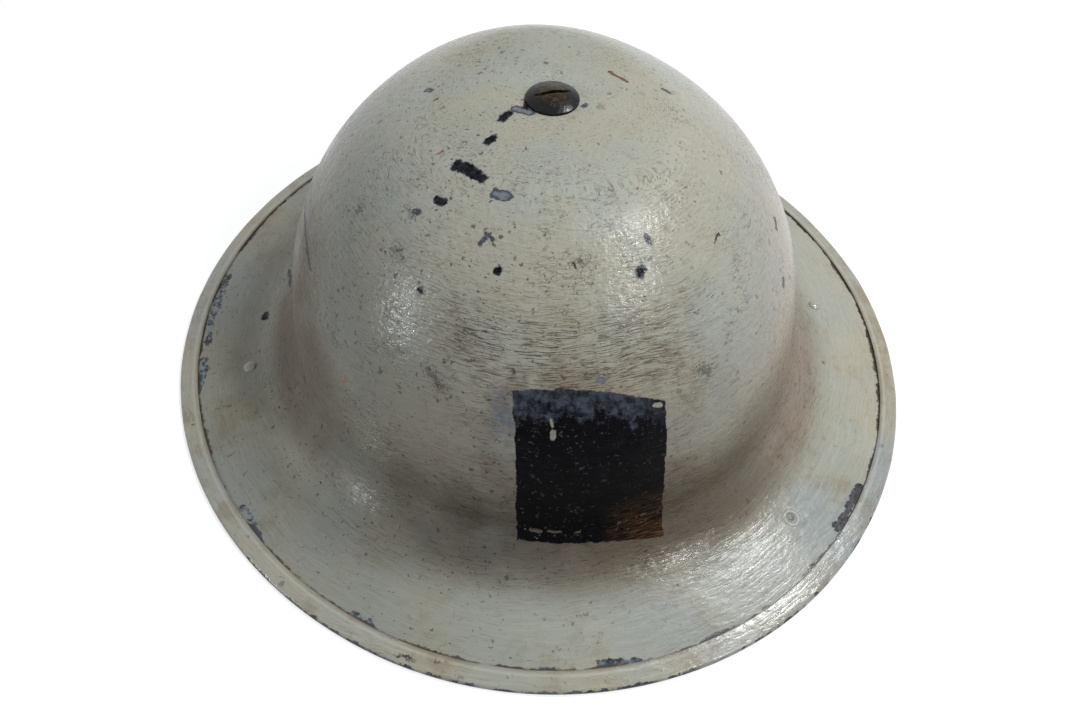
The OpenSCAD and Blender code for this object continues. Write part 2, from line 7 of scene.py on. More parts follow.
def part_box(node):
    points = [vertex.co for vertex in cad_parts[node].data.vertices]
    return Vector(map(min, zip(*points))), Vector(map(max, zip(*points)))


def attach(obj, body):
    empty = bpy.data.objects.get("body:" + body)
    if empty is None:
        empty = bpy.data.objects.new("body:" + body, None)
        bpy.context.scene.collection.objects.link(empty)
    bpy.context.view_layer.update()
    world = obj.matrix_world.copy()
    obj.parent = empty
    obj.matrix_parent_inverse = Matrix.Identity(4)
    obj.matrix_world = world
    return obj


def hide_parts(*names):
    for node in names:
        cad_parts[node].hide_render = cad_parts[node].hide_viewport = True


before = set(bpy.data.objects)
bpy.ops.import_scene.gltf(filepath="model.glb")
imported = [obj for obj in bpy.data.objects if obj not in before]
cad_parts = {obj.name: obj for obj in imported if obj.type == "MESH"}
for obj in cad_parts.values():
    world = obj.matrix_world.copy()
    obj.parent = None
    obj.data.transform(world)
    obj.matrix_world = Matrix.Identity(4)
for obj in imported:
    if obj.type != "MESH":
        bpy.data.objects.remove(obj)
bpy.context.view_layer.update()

# Camera
# The helmet is seen from its front, a little from its right hand side and from well above the rim.
# The lens stands less than half a metre away, so the near side of the brim looks larger than the far one.
LENS_PLACE = (-0.062763, -0.293089, 0.343464)
side_angle, height_angle, tilt = math.radians(-12.15), math.radians(49.869), math.radians(2.966)
camera = bpy.data.objects.new("camera", bpy.data.cameras.new("camera"))
bpy.context.scene.collection.objects.link(camera)
camera.data.sensor_width = 36
camera.data.lens = 36.667
back = Vector((math.cos(height_angle)*math.sin(side_angle), -math.cos(height_angle)*math.cos(side_angle),
               math.sin(height_angle)))
right = Vector((math.cos(side_angle), math.sin(side_angle), 0))
up = back.cross(right)
across = right*math.cos(tilt) + up*math.sin(tilt)
upright = up*math.cos(tilt) - right*math.sin(tilt)
camera.matrix_world = Matrix.Translation(LENS_PLACE) @ Matrix((across, upright, back)).transposed().to_4x4()
bpy.context.scene.camera = camera

# Light and floor
# Two windows high on the right, a small low lamp on the left, and a pale room all round.
# The floor shows white to the lens and keeps a faint shadow under the helmet.
BOWL_MIDDLE = Vector((0, 0, 0.05))
DAYLIGHT, COOL_LIGHT = (1.0, 1.0, 0.99), (0.97, 0.99, 1.0)
bpy.context.scene.view_settings.view_transform = "Standard"


def add(tree, kind, inputs=None, **settings):
    """One shader node. settings are its own options, inputs are numbers or sockets for its inputs."""
    made = tree.nodes.new(kind)
    for key, value in settings.items():
        setattr(made, key, value)
    for key, value in (inputs or {}).items():
        if isinstance(value, bpy.types.NodeSocket):
            tree.links.new(value, made.inputs[key])
        else:
            made.inputs[key].default_value = value
    return made


def softbox(name, side, height, distance, width, depth, watts, colour):
    """A soft light that looks at the bowl from an angle round the helmet and a height, in degrees."""
    side, height = math.radians(side), math.radians(height)
    lamp = bpy.data.objects.new(name, bpy.data.lights.new(name, "AREA"))
    bpy.context.scene.collection.objects.link(lamp)
    lamp.data.shape = "RECTANGLE"
    lamp.data.size, lamp.data.size_y = width, depth
    lamp.data.energy = watts
    lamp.data.color = colour
    towards = Vector((math.sin(side)*math.cos(height), -math.cos(side)*math.cos(height), math.sin(height)))
    lamp.location = BOWL_MIDDLE + towards*distance
    lamp.rotation_euler = towards.to_track_quat("Z", "Y").to_euler()


softbox("window", side=97, height=60, distance=1.0, width=0.20, depth=0.27, watts=6.0, colour=DAYLIGHT)
softbox("second_window", side=47, height=49, distance=1.3, width=0.15, depth=0.17, watts=5.6, colour=DAYLIGHT)
softbox("left_lamp", side=-80, height=17, distance=1.2, width=0.06, depth=0.11, watts=2.6, colour=COOL_LIGHT)


def sees_white(tree):
    """1 for a ray that meets the background straight, in a gloss or through glass, and 0 for any other."""
    ray = add(tree, "ShaderNodeLightPath").outputs
    seen = add(tree, "ShaderNodeMath", {0: ray["Is Camera Ray"], 1: ray["Is Transmission Ray"]},
               operation="MAXIMUM")
    seen = add(tree, "ShaderNodeMath", {0: ray["Is Glossy Ray"], 1: seen.outputs[0]}, operation="MAXIMUM")
    return seen.outputs[0]


world = bpy.data.worlds.new("room")
bpy.context.scene.world = world
world.use_nodes = True
tree = world.node_tree
tree.nodes.clear()
room = add(tree, "ShaderNodeBackground", {"Color": (0.86, 0.92, 1.0, 1), "Strength": 0.30})
white = add(tree, "ShaderNodeBackground", {"Color": (1, 1, 1, 1), "Strength": 1.0})
both = add(tree, "ShaderNodeMixShader", {0: sees_white(tree), 1: room.outputs[0], 2: white.outputs[0]})
add(tree, "ShaderNodeOutputWorld", {"Surface": both.outputs[0]})

bpy.ops.mesh.primitive_plane_add(size=8, location=(0, 0, 0))
floor = bpy.context.object
floor.name = "floor"
floor_white = bpy.data.materials.new("floor_white")
floor_white.use_nodes = True
tree = floor_white.node_tree
tree.nodes.clear()
spot = add(tree, "ShaderNodeTexCoord").outputs["Object"]
far = add(tree, "ShaderNodeVectorMath", {0: spot}, operation="LENGTH")
# The lamps reach less far out, so the floor makes up for them there
glow = add(tree, "ShaderNodeMapRange", {"Value": far.outputs["Value"], "From Min": 0.5, "From Max": 1.4,
                                        "To Min": 0.72, "To Max": 0.96})
lift = add(tree, "ShaderNodeMath", {0: sees_white(tree), 1: glow.outputs["Result"]}, operation="MULTIPLY")
sheet = add(tree, "ShaderNodeBsdfPrincipled", {"Base Color": (0.36, 0.36, 0.36, 1), "Roughness": 1.0,
                                               "Specular IOR Level": 0.0, "Emission Color": (1, 1, 1, 1),
                                               "Emission Strength": lift.outputs[0]})
add(tree, "ShaderNodeOutputMaterial", {"Surface": sheet.outputs[0]})
floor.data.materials.append(floor_white)

# Shell
# The bowl and its brim are one sheet of steel, 1.1 mm thick, pressed to an oval of four arcs.
# Its section is a crown arc, a shoulder arc, a short straight wall, a flare and a nearly flat brim.
UNIT = 0.00425                      # the oval's arcs have their centres 4 and 3 units from the middle
HEIGHT = 0.1215
SHEET = 0.0011
HALF_LENGTH = 0.153
RIM = HALF_LENGTH - 4*UNIT          # from an end arc's centre to the rim
FOLD = 0.0013                       # radius of the strip's fold round the sheet's edge
WEAR = 0.0003                       # the flat worn along the strip's underside
CROWN, SHOULDER, FLARE = 0.090, 0.084, 0.022
CROWN_SLOPE, WALL_SLOPE, BRIM_SLOPE = math.radians(27), math.radians(83), math.radians(13.5)
SCREW_HOLE, RIVET_HOLE = 0.0033, 0.00145
RIVET_X, RIVET_Y = 0.1165, -0.0035


def slope_up(slope):
    return Vector((math.sin(slope), math.cos(slope)))


def slope_down(slope):
    return Vector((math.cos(slope), -math.sin(slope)))


def bow(centre, radius, start, end, steps):
    """Points of an arc in the section. Its angles are slopes, 0 where the sheet lies level."""
    return [centre + radius*slope_up(start + (end - start)*i/steps) for i in range(steps + 1)]


def run(start, end, steps):
    return [start.lerp(end, i/steps) for i in range(1, steps)]


edge = Vector((RIM - FOLD, FOLD - WEAR))
brim_end = edge + slope_up(BRIM_SLOPE)*SHEET/2
out = (CROWN*math.sin(CROWN_SLOPE) + SHOULDER*(math.sin(WALL_SLOPE) - math.sin(CROWN_SLOPE))
       + FLARE*(math.sin(WALL_SLOPE) - math.sin(BRIM_SLOPE)))
fall = (CROWN*(1 - math.cos(CROWN_SLOPE)) + SHOULDER*(math.cos(CROWN_SLOPE) - math.cos(WALL_SLOPE))
        + FLARE*(math.cos(BRIM_SLOPE) - math.cos(WALL_SLOPE)))
left_out, left_down = brim_end[0] - out, HEIGHT - brim_end[1] - fall
wall_length = ((left_down*math.cos(BRIM_SLOPE) - left_out*math.sin(BRIM_SLOPE))
               / math.sin(WALL_SLOPE - BRIM_SLOPE))
crown_centre = Vector((0, HEIGHT - CROWN))
shoulder_centre = crown_centre + (CROWN - SHOULDER)*slope_up(CROWN_SLOPE)
wall_top = shoulder_centre + SHOULDER*slope_up(WALL_SLOPE)
wall_foot = wall_top + wall_length*slope_down(WALL_SLOPE)
flare_centre = wall_foot + FLARE*slope_up(WALL_SLOPE)
brim_root = flare_centre - FLARE*slope_up(BRIM_SLOPE)
shell_line = (bow(crown_centre, CROWN, 0, CROWN_SLOPE, 14)
              + bow(shoulder_centre, SHOULDER, CROWN_SLOPE, WALL_SLOPE, 26)[1:]
              + run(wall_top, wall_foot, 6)
              + bow(flare_centre, -FLARE, WALL_SLOPE, BRIM_SLOPE, 14)
              + run(brim_root, brim_end, 10) + [brim_end])

# The oval's arcs: centre in units, start, turn, units added to the radius of an end arc, and steps
JOIN = math.atan2(4, 3)             # the slope at which a side arc meets an end arc
AROUND = [(0, 4, JOIN, math.pi - 2*JOIN, 0, 46), (3, 0, math.pi - JOIN, 2*JOIN, 5, 70),
          (0, -4, math.pi + JOIN, math.pi - 2*JOIN, 0, 46), (-3, 0, -JOIN, 2*JOIN, 5, 70)]


def pick(piece, kind, test):
    """Selects only the vertices, edges or faces that pass a test, and leaves edit mode open."""
    bpy.ops.object.mode_set(mode="EDIT")
    bpy.ops.mesh.select_mode(type={"vertices": "VERT", "edges": "EDGE", "polygons": "FACE"}[kind])
    bpy.ops.mesh.select_all(action="DESELECT")
    bpy.ops.object.mode_set(mode="OBJECT")
    for part in getattr(piece.data, kind):
        part.select = test(part)
    bpy.ops.object.mode_set(mode="EDIT")


def only(piece):
    bpy.ops.object.select_all(action="DESELECT")
    piece.select_set(True)
    bpy.context.view_layer.objects.active = piece


def wire_of(name, points, ends):
    """A new object of points and edges alone, selected and ready for an operator."""
    wire = bpy.data.meshes.new(name)
    wire.from_pydata(points, ends, [])
    piece = bpy.data.objects.new(name, wire)
    bpy.context.scene.collection.objects.link(piece)
    only(piece)
    return piece


def join(name, pieces):
    bpy.ops.object.select_all(action="DESELECT")
    for piece in pieces:
        piece.select_set(True)
    bpy.context.view_layer.objects.active = pieces[0]
    bpy.ops.object.join()
    joined = bpy.context.object
    joined.name = joined.data.name = name
    return joined


def oval_spin(name, line, unit, closed=False, around=AROUND):
    """Spins a line of the section round the arcs of an oval and joins the turns to one skin."""
    turns = []
    count = len(line)
    ends = [(i, (i + 1) % count) for i in range(count if closed else count - 1)]
    for shift_x, shift_y, start, angle, extra, steps in around:
        centre = Vector((shift_x*unit, shift_y*unit, 0))
        towards = Vector((math.cos(start), math.sin(start), 0))
        points = [centre + towards*(p[0] + extra*unit) + Vector((0, 0, p[1])) for p in line]
        turns.append(wire_of(name, points, ends))
        bpy.ops.object.mode_set(mode="EDIT")
        bpy.ops.mesh.select_mode(type="VERT")
        bpy.ops.mesh.select_all(action="SELECT")
        bpy.ops.mesh.spin(steps=steps, angle=-angle, center=centre, axis=(0, 0, 1))
        bpy.ops.object.mode_set(mode="OBJECT")
    piece = join(name, turns)
    bpy.ops.object.mode_set(mode="EDIT")
    bpy.ops.mesh.select_all(action="SELECT")
    bpy.ops.mesh.remove_doubles(threshold=0.00002)
    bpy.ops.mesh.normals_make_consistent(inside=False)
    bpy.ops.object.mode_set(mode="OBJECT")
    return piece


shell = oval_spin("shell_skin", shell_line, UNIT)
pick(shell, "edges", lambda e: all(shell.data.vertices[i].co.z > HEIGHT - 0.00001 for i in e.vertices))
bpy.ops.mesh.edge_face_add()
bpy.ops.mesh.select_all(action="SELECT")
bpy.ops.mesh.normals_make_consistent(inside=False)
bpy.ops.object.mode_set(mode="OBJECT")
wall = shell.modifiers.new("wall", "SOLIDIFY")
wall.thickness, wall.offset = SHEET, -1
bpy.ops.object.modifier_apply(modifier="wall")


def cut_away(piece, cutter):
    """Cuts one shape out of a piece and takes the cutter away."""
    only(piece)
    cut = piece.modifiers.new("cut", "BOOLEAN")
    cut.operation, cut.solver, cut.object = "DIFFERENCE", "EXACT", cutter
    bpy.ops.object.modifier_apply(modifier="cut")
    bpy.data.objects.remove(cutter)


def drill(piece, place, axis, radius, depth=0.02):
    """Cuts a round hole through a piece."""
    bpy.ops.mesh.primitive_cylinder_add(vertices=32, radius=radius, depth=depth, location=place,
                                        rotation=Vector(axis).to_track_quat("Z", "Y").to_euler())
    cut_away(piece, bpy.context.object)


def brim_level(reach):
    """Height of the brim's upper face at a distance from an end arc's centre."""
    return brim_root[1] - (reach - brim_root[0])*math.tan(BRIM_SLOPE)


# The small hole at the front right is all but filled with paint, so a ball cuts only a dimple there
hole = Vector((0.074, -0.102, 0))
hole.z = brim_level((Vector((hole.x, hole.y + 4*UNIT))).length)
BALL, BALL_LIFT = 0.0026, 0.0020
bpy.ops.mesh.primitive_uv_sphere_add(segments=32, ring_count=24, radius=BALL,
                                     location=hole + Vector((0, 0, BALL_LIFT)))
cut_away(shell, bpy.context.object)
drill(shell, (0, 0, HEIGHT), (0, 0, 1), SCREW_HOLE)
rivet_up = [Vector((side*math.sin(BRIM_SLOPE), 0, math.cos(BRIM_SLOPE))) for side in (-1, 1)]
rivet_at = [Vector((side*RIVET_X, RIVET_Y, brim_level(RIVET_X - 2*UNIT))) for side in (-1, 1)]
for place, axis in zip(rivet_at, rivet_up):
    drill(shell, place, axis, RIVET_HOLE)


def smooth(piece, degrees=35):
    only(piece)
    bpy.ops.object.shade_smooth_by_angle(angle=math.radians(degrees))


smooth(shell, 40)


def reach_of(x, y, unit):
    """Distance of a point from the end arc's centre, measured square to the oval."""
    x, y = abs(x), abs(y)
    if 4*x < 3*(y - 4*unit):
        return math.hypot(x, y - 4*unit)
    return math.hypot(x + 3*unit, y) - 5*unit


def keep_reach(piece):
    """Stores each point's reach, which the paint follows round the oval."""
    reach = piece.data.attributes.new("reach", "FLOAT", "POINT")
    reach.data.foreach_set("value", [reach_of(v.co.x, v.co.y, UNIT) for v in piece.data.vertices])


keep_reach(shell)


# The finish: a thick coat of off-white gloss, brushed on by hand over a blue-grey and a black one.
# It has yellowed, cracked and chipped, and dirt has settled in its brush strokes and in the flare, whose
# colour holds a painted shade as well.
def maths(tree, operation, a, b=0.0, c=0.0):
    return add(tree, "ShaderNodeMath", {0: a, 1: b, 2: c}, operation=operation).outputs[0]


def times(tree, share, *others):
    """Several shares multiplied together."""
    for other in others:
        share = maths(tree, "MULTIPLY", share, other)
    return share


def vector(tree, operation, a, b=(0, 0, 0), out="Vector", **more):
    return add(tree, "ShaderNodeVectorMath", {0: a, 1: b, **more}, operation=operation).outputs[out]


def apart(tree, place):
    """The three numbers of a place."""
    return add(tree, "ShaderNodeSeparateXYZ", {0: place}).outputs


def together(tree, *numbers):
    return add(tree, "ShaderNodeCombineXYZ", dict(enumerate(numbers))).outputs[0]


def step(tree, value, low, high, to_low=0.0, to_high=1.0):
    """A soft step of a value, from to_low below low to to_high above high."""
    made = add(tree, "ShaderNodeMapRange", {"Value": value, "From Min": low, "From Max": high,
                                            "To Min": to_low, "To Max": to_high},
               interpolation_type="SMOOTHSTEP")
    return made.outputs[0]


def close_to(tree, value, middle, outer, inner):
    """1 where a value is within inner of a middle, and 0 where it is more than outer away from it."""
    return step(tree, maths(tree, "ABSOLUTE", maths(tree, "SUBTRACT", value, middle)), outer, inner)


def cloud(tree, place, scale, detail=2.0, roughness=0.5, out="Fac"):
    return add(tree, "ShaderNodeTexNoise", {"Vector": place, "Scale": scale, "Detail": detail,
                                            "Roughness": roughness}).outputs[out]


def brushed(tree, way, along, down, detail=2.0, roughness=0.5):
    """A cloud drawn out along the brush, with scales of its own along the strokes and down across them."""
    return cloud(tree, vector(tree, "MULTIPLY", way, (along, along, down)), 1.0, detail, roughness)


def astray(tree, way, place, far, scale, detail=2.0, roughness=0.5):
    """A place moved off its way by a cloud, up to far in each direction."""
    noisy = cloud(tree, place, scale, detail, roughness, out="Color")
    return vector(tree, "ADD", way, vector(tree, "SCALE", noisy, Scale=far))


def torn(tree, place, far, scale, detail, roughness):
    """A place moved by a cloud half of far either way, which gives torn edges to what is drawn there."""
    noisy = cloud(tree, place, scale, detail, roughness, out="Color")
    noisy = vector(tree, "SUBTRACT", noisy, (0.5, 0.5, 0.5))
    return vector(tree, "ADD", place, vector(tree, "SCALE", noisy, Scale=far))


def cells(tree, place, scale, feature="F1", out="Distance"):
    return add(tree, "ShaderNodeTexVoronoi", {"Vector": place, "Scale": scale}, feature=feature).outputs[out]


def spots(tree, place, scale):
    """Scattered points: how near the nearest one is, and three numbers of its own between 0 and 1."""
    own = add(tree, "ShaderNodeSeparateColor", {0: cells(tree, place, scale, out="Color")}).outputs
    return cells(tree, place, scale), *own


def tint(tree, share, under, over, kind="MIX"):
    made = add(tree, "ShaderNodeMix", {0: share, 6: under, 7: over}, data_type="RGBA", blend_type=kind)
    return made.outputs[2]


def painted(tree, colour, mask, share, over):
    """A colour with another over it where a mask says, as thick as a share."""
    return tint(tree, times(tree, mask, share), colour, over)


def washed(tree, colour, mask, wash):
    """A colour with a thin wash over it where a mask says. The wash multiplies red, green and blue."""
    return tint(tree, mask, colour, tint(tree, 1.0, colour, (*wash, 1), "MULTIPLY"))


def shade(red, green, blue):
    """A colour as it looks on a screen, 0 to 255, as the linear numbers that a shader takes."""
    return (*[(v/255/12.92 if v <= 10 else ((v/255 + 0.055)/1.055)**2.4) for v in (red, green, blue)], 1)


def group(name, takes, gives):
    """A shader node group with named inputs and outputs."""
    made = bpy.data.node_groups.new(name, "ShaderNodeTree")
    for label, kind, value in takes:
        socket = made.interface.new_socket(label, in_out="INPUT", socket_type="NodeSocket" + kind)
        socket.default_value = value
    for label, kind in gives:
        made.interface.new_socket(label, in_out="OUTPUT", socket_type="NodeSocket" + kind)
    return made, made.nodes.new("NodeGroupInput").outputs, made.nodes.new("NodeGroupOutput").inputs


def put(tree, made, **values):
    """Places a node group in a material, with its inputs by name."""
    return add(tree, "ShaderNodeGroup", {k.replace("_", " "): v for k, v in values.items()}, node_tree=made)


def new_finish(name, slot):
    """A material for one slot, with its node tree and the places on the piece."""
    made = bpy.data.materials.new(name)
    made.use_nodes = True
    made.node_tree.nodes.clear()
    made["slot"] = slot
    return made, made.node_tree, add(made.node_tree, "ShaderNodeTexCoord").outputs["Object"]


def coated(tree, colour, roughness, height, depth, strength=0.5, metal=0.0):
    """The shader of a finish, with its bumps as a height and how deep they are in metres."""
    bump = add(tree, "ShaderNodeBump", {"Strength": strength, "Distance": depth, "Height": height})
    skin = add(tree, "ShaderNodeBsdfPrincipled", {"Base Color": colour, "Roughness": roughness,
                                                  "Metallic": metal, "Normal": bump.outputs[0]})
    add(tree, "ShaderNodeOutputMaterial", {"Surface": skin.outputs[0]})
    return skin


def fit(piece, node, finish, body="helmet"):
    """Finishes a piece that stands for a node: its material and the body that it rides on."""
    piece.data.materials.clear()
    piece.data.materials.append(finish)
    if node:
        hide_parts(node)
    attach(piece, body)
    return piece


# Coordinates that run with the brush: round the bowl in x and y, and a little wavily down it in z.
brush_way, takes, gives = group("brush_way", [("Place", "Vector", (0, 0, 0)), ("Waver", "Float", 0.012)],
                                [("Way", "Vector")])
tree = brush_way
x, y, z = apart(tree, takes["Place"])
radius = vector(tree, "LENGTH", together(tree, x, y), out="Value")
wide = maths(tree, "MAXIMUM", radius, 0.03)
slow = maths(tree, "MULTIPLY_ADD", cloud(tree, takes["Place"], 17, 1.0), takes["Waver"])
quick = times(tree, cloud(tree, takes["Place"], 110, 1.0), 0.0025)
down = maths(tree, "SUBTRACT", radius, z)
top = maths(tree, "MULTIPLY_ADD", x, 0.35, y)
level = add(tree, "ShaderNodeMix", {0: step(tree, radius, 0.012, 0.05), 2: top, 3: down}, data_type="FLOAT")
level = maths(tree, "ADD", maths(tree, "ADD", level.outputs[0], slow), quick)
way = together(tree, maths(tree, "DIVIDE", x, wide), maths(tree, "DIVIDE", y, wide), level)
tree.links.new(way, gives["Way"])

# The coat itself, with its patches, strokes, dirt, cracks and specks.
old_paint, takes, gives = group("old_paint", [
    ("Place", "Vector", (0, 0, 0)), ("Cool", "Color", shade(151, 155, 147)),
    ("Warm", "Color", shade(158, 155, 140)), ("Dirt", "Float", 1.0), ("Cracks", "Float", 1.0)],
    [("Color", "Color"), ("Roughness", "Float"), ("Height", "Float"), ("Way", "Vector")])
tree = old_paint
place = takes["Place"]
way = put(tree, brush_way, Place=place).outputs[0]
tree.links.new(way, gives["Way"])
patches = cloud(tree, place, 20, 3.0, 0.6)
strokes = brushed(tree, way, 9, 900, 3.0, 0.65)
fine = brushed(tree, way, 13, 2300, 2.0, 0.6)
colour = tint(tree, step(tree, patches, 0.36, 0.64), takes["Cool"], takes["Warm"])
colour = tint(tree, step(tree, strokes, 0.34, 0.74, 0.0, 0.22), colour, shade(178, 177, 168))
colour = tint(tree, step(tree, fine, 0.52, 0.76, 0.0, 0.16), colour, shade(112, 108, 98))
# Dirt in the strokes
dirty = times(tree, step(tree, cloud(tree, place, 31, 4.0, 0.64), 0.42, 0.66), takes["Dirt"])
grime = times(tree, step(tree, fine, 0.50, 0.68), dirty)
colour = painted(tree, colour, grime, 0.50, shade(88, 78, 62))
dashes = times(tree, step(tree, brushed(tree, way, 34, 1500), 0.62, 0.67),
               maths(tree, "MULTIPLY_ADD", dirty, 0.75, 0.12), takes["Dirt"])
colour = painted(tree, colour, dashes, 0.75, shade(80, 68, 50))
# Cracks, here and there
wavy = astray(tree, vector(tree, "MULTIPLY", way, (13, 13, 470)), place, 1.5, 380)
crack = step(tree, cells(tree, wavy, 1.0, "DISTANCE_TO_EDGE"), 0.012, 0.05, 1.0, 0.0)
crack = times(tree, crack, step(tree, cloud(tree, place, 90, 3.0, 0.6), 0.54, 0.62), takes["Cracks"])
colour = painted(tree, colour, crack, 0.62, shade(72, 56, 40))
# Specks of many sizes, some larger smudges, and hairlines that run with the brush
bend = astray(tree, place, place, 0.0042, 420, 3.0, 0.6)
near, chosen, dark, large = spots(tree, bend, 210.0)
speck = step(tree, maths(tree, "DIVIDE", near, maths(tree, "MULTIPLY_ADD", large, 0.9, 0.35)), 0.10, 0.22,
             1.0, 0.0)
speck = times(tree, speck, step(tree, chosen, 0.42, 0.44), maths(tree, "MULTIPLY_ADD", dark, 0.7, 0.2),
              takes["Dirt"])
colour = tint(tree, speck, colour, shade(82, 72, 58))
near, chosen, dark, _ = spots(tree, bend, 55.0)
smudge = times(tree, step(tree, near, 0.04, 0.15, 1.0, 0.0), step(tree, chosen, 0.50, 0.56), dark,
               takes["Dirt"])
colour = painted(tree, colour, smudge, 0.6, shade(90, 74, 54))
hair_place = step(tree, cloud(tree, place, 52, 3.0, 0.6), 0.38, 0.62, 0.15, 1.0)
hair = times(tree, step(tree, brushed(tree, way, 19, 3100, 2.0, 0.55), 0.60, 0.645),
             times(tree, hair_place, takes["Dirt"]))
colour = painted(tree, colour, hair, 0.72, shade(98, 74, 50))
dot = times(tree, step(tree, cloud(tree, bend, 720, 2.0, 0.6), 0.655, 0.70),
            step(tree, cloud(tree, place, 70, 3.0, 0.6), 0.44, 0.60, 0.1, 1.0))
colour = tint(tree, times(tree, dot, 0.75, takes["Dirt"]), colour, shade(60, 52, 42))
tree.links.new(colour, gives["Color"])
grain = cloud(tree, place, 1100, 2.0, 0.6)
gloss = step(tree, maths(tree, "MULTIPLY_ADD", strokes, 0.6, times(tree, grain, 0.4)), 0.35, 0.65, 0.11, 0.32)
gloss = maths(tree, "MULTIPLY_ADD", maths(tree, "MAXIMUM", grime, crack), 0.3, gloss)
tree.links.new(gloss, gives["Roughness"])
height = maths(tree, "MULTIPLY_ADD", fine, 0.25, times(tree, strokes, 0.8))
height = maths(tree, "MULTIPLY_ADD", brushed(tree, way, 30, 330), 2.0, height)
height = maths(tree, "MULTIPLY_ADD", cloud(tree, place, 75, 2.0), 3.0, height)
height = maths(tree, "MULTIPLY_ADD", grain, 0.30, height)
height = maths(tree, "MULTIPLY_ADD", maths(tree, "MAXIMUM", crack, dashes), -0.6, height)
tree.links.new(height, gives["Height"])

# A chip or scratch: how far a point lies outside a stroke from one place to another.
chip, takes, gives = group("chip", [("Place", "Vector", (0, 0, 0)), ("From", "Vector", (0, 0, 0)),
                                    ("To", "Vector", (0, 0, 0)), ("Radius", "Float", 0.002)],
                           [("Outside", "Float")])
tree = chip
arm = vector(tree, "SUBTRACT", takes["Place"], takes["From"])
line = vector(tree, "SUBTRACT", takes["To"], takes["From"])
share = maths(tree, "DIVIDE", vector(tree, "DOT_PRODUCT", arm, line, "Value"),
              vector(tree, "DOT_PRODUCT", line, line, "Value"))
share = add(tree, "ShaderNodeClamp", {0: share}).outputs[0]
aside = vector(tree, "SUBTRACT", arm, vector(tree, "SCALE", line, Scale=share))
aside = vector(tree, "LENGTH", aside, out="Value")
tree.links.new(maths(tree, "SUBTRACT", aside, takes["Radius"]), gives["Outside"])


def nearest(tree, place, marks):
    """The distance to the nearest of some chips, each a start, an end and a radius in millimetres."""
    outside = None
    for start, end, radius in marks:
        mark = put(tree, chip, Place=place, From=[v/1000 for v in start], To=[v/1000 for v in end],
                   Radius=radius/1000).outputs[0]
        outside = mark if outside is None else maths(tree, "MINIMUM", outside, mark)
    return outside


# Each mark on the shell: where its stroke starts and ends, and its radius, in millimetres
BLACK_CHIPS = [
    ((-17.8, -7.4, 121), (-15.6, -5.0, 121), 1.5), ((-24, -16.5, 119.6), (-21.6, -15.2, 119.6), 1.5),
    ((-34.4, -22.6, 115.9), (-31.2, -25.4, 116.2), 2.3),
    ((-30.6, -26.6, 116.4), (-27.6, -30.2, 116.2), 2.0), ((-41.9, -32.3, 111), (-40.6, -33.5, 111), 1.6),
    ((-9.4, -3.2, 121.5), (-8.4, -0.6, 121.5), 1.3), ((15.8, -66.5, 104.7), (16.4, -65.6, 104.9), 1.5),
    ((-27.4, -60.5, 105.2), (-26.6, -59.4, 105.6), 1.1), ((-50.5, -55.6, 95.2), (-50.5, -55.6, 95.2), 1.0),
    ((74.7, -29.7, 85.6), (75, -33.5, 84.8), 1.0), ((74.2, -47.6, 74), (74.2, -49.4, 73), 1.1),
    ((-110.2, 20.6, 9.1), (-110, 22.4, 9.1), 1.5), ((-70.5, -49.5, 72.5), (-70.5, -49.5, 72.5), 0.8)]
BLUE_CHIPS = [
    ((-24.6, -37.2, 115.9), (-21.2, -39.4, 115.9), 1.7), ((-12.9, -3.4, 121.4), (-8.6, -6.0, 121.4), 1.7),
    ((-32.2, -51.2, 109.1), (-29.6, -50.4, 109.4), 1.0), ((-28.9, -48.6, 110), (-27.0, -51.2, 109.2), 0.9),
    ((20.4, -57.8, 109.1), (19.2, -55.6, 109.6), 0.9), ((-39.7, 19.4, 114.4), (-38.6, 18.6, 114.8), 1.2),
    ((-49.4, -32.4, 107), (-48.4, -33, 107.2), 1.0), ((4.9, -54.6, 111.4), (5.1, -54.2, 111.4), 0.5),
    ((-58, -48, 95), (-58, -48, 95), 0.8), ((9.2, -5.2, 121.3), (10.4, -4.4, 121.3), 0.8),
    ((40.5, 9, 115.4), (42.6, 7.6, 114.6), 0.7)]
GROOVE_CHIPS = [
    ((91.3, -106.2, 3.4), (95, -102, 3.5), 1.9), ((95, -102, 3.5), (105.3, -90.8, 3.5), 1.2),
    ((-134.8, 6.3, 3.5), (-136.4, -6, 3.1), 1.5), ((-132.4, 27.7, 3.5), (-133.8, 15, 3.5), 1.1),
    ((-127.8, 46, 3.3), (-131.4, 32, 3.4), 1.7), ((-125.8, 52.4, 3.3), (-126.8, 49, 3.4), 0.9),
    ((-120.5, 69, 3.5), (-112, 83, 3.4), 0.8), ((-104, 96, 3.5), (-102, 98, 3.5), 1.1),
    ((-84, -114.5, 3), (-78.6, -118.5, 3), 1.6), ((-72, -126.6, 3), (-68, -128.4, 3), 1.3),
    ((-62, -131.6, 3.2), (-55, -134.4, 3.4), 1.1), ((-5.2, -144.2, 3.3), (8, -145.2, 3.1), 0.9),
    ((-120, -66, 3.3), (-116, -73, 3.3), 0.8)]
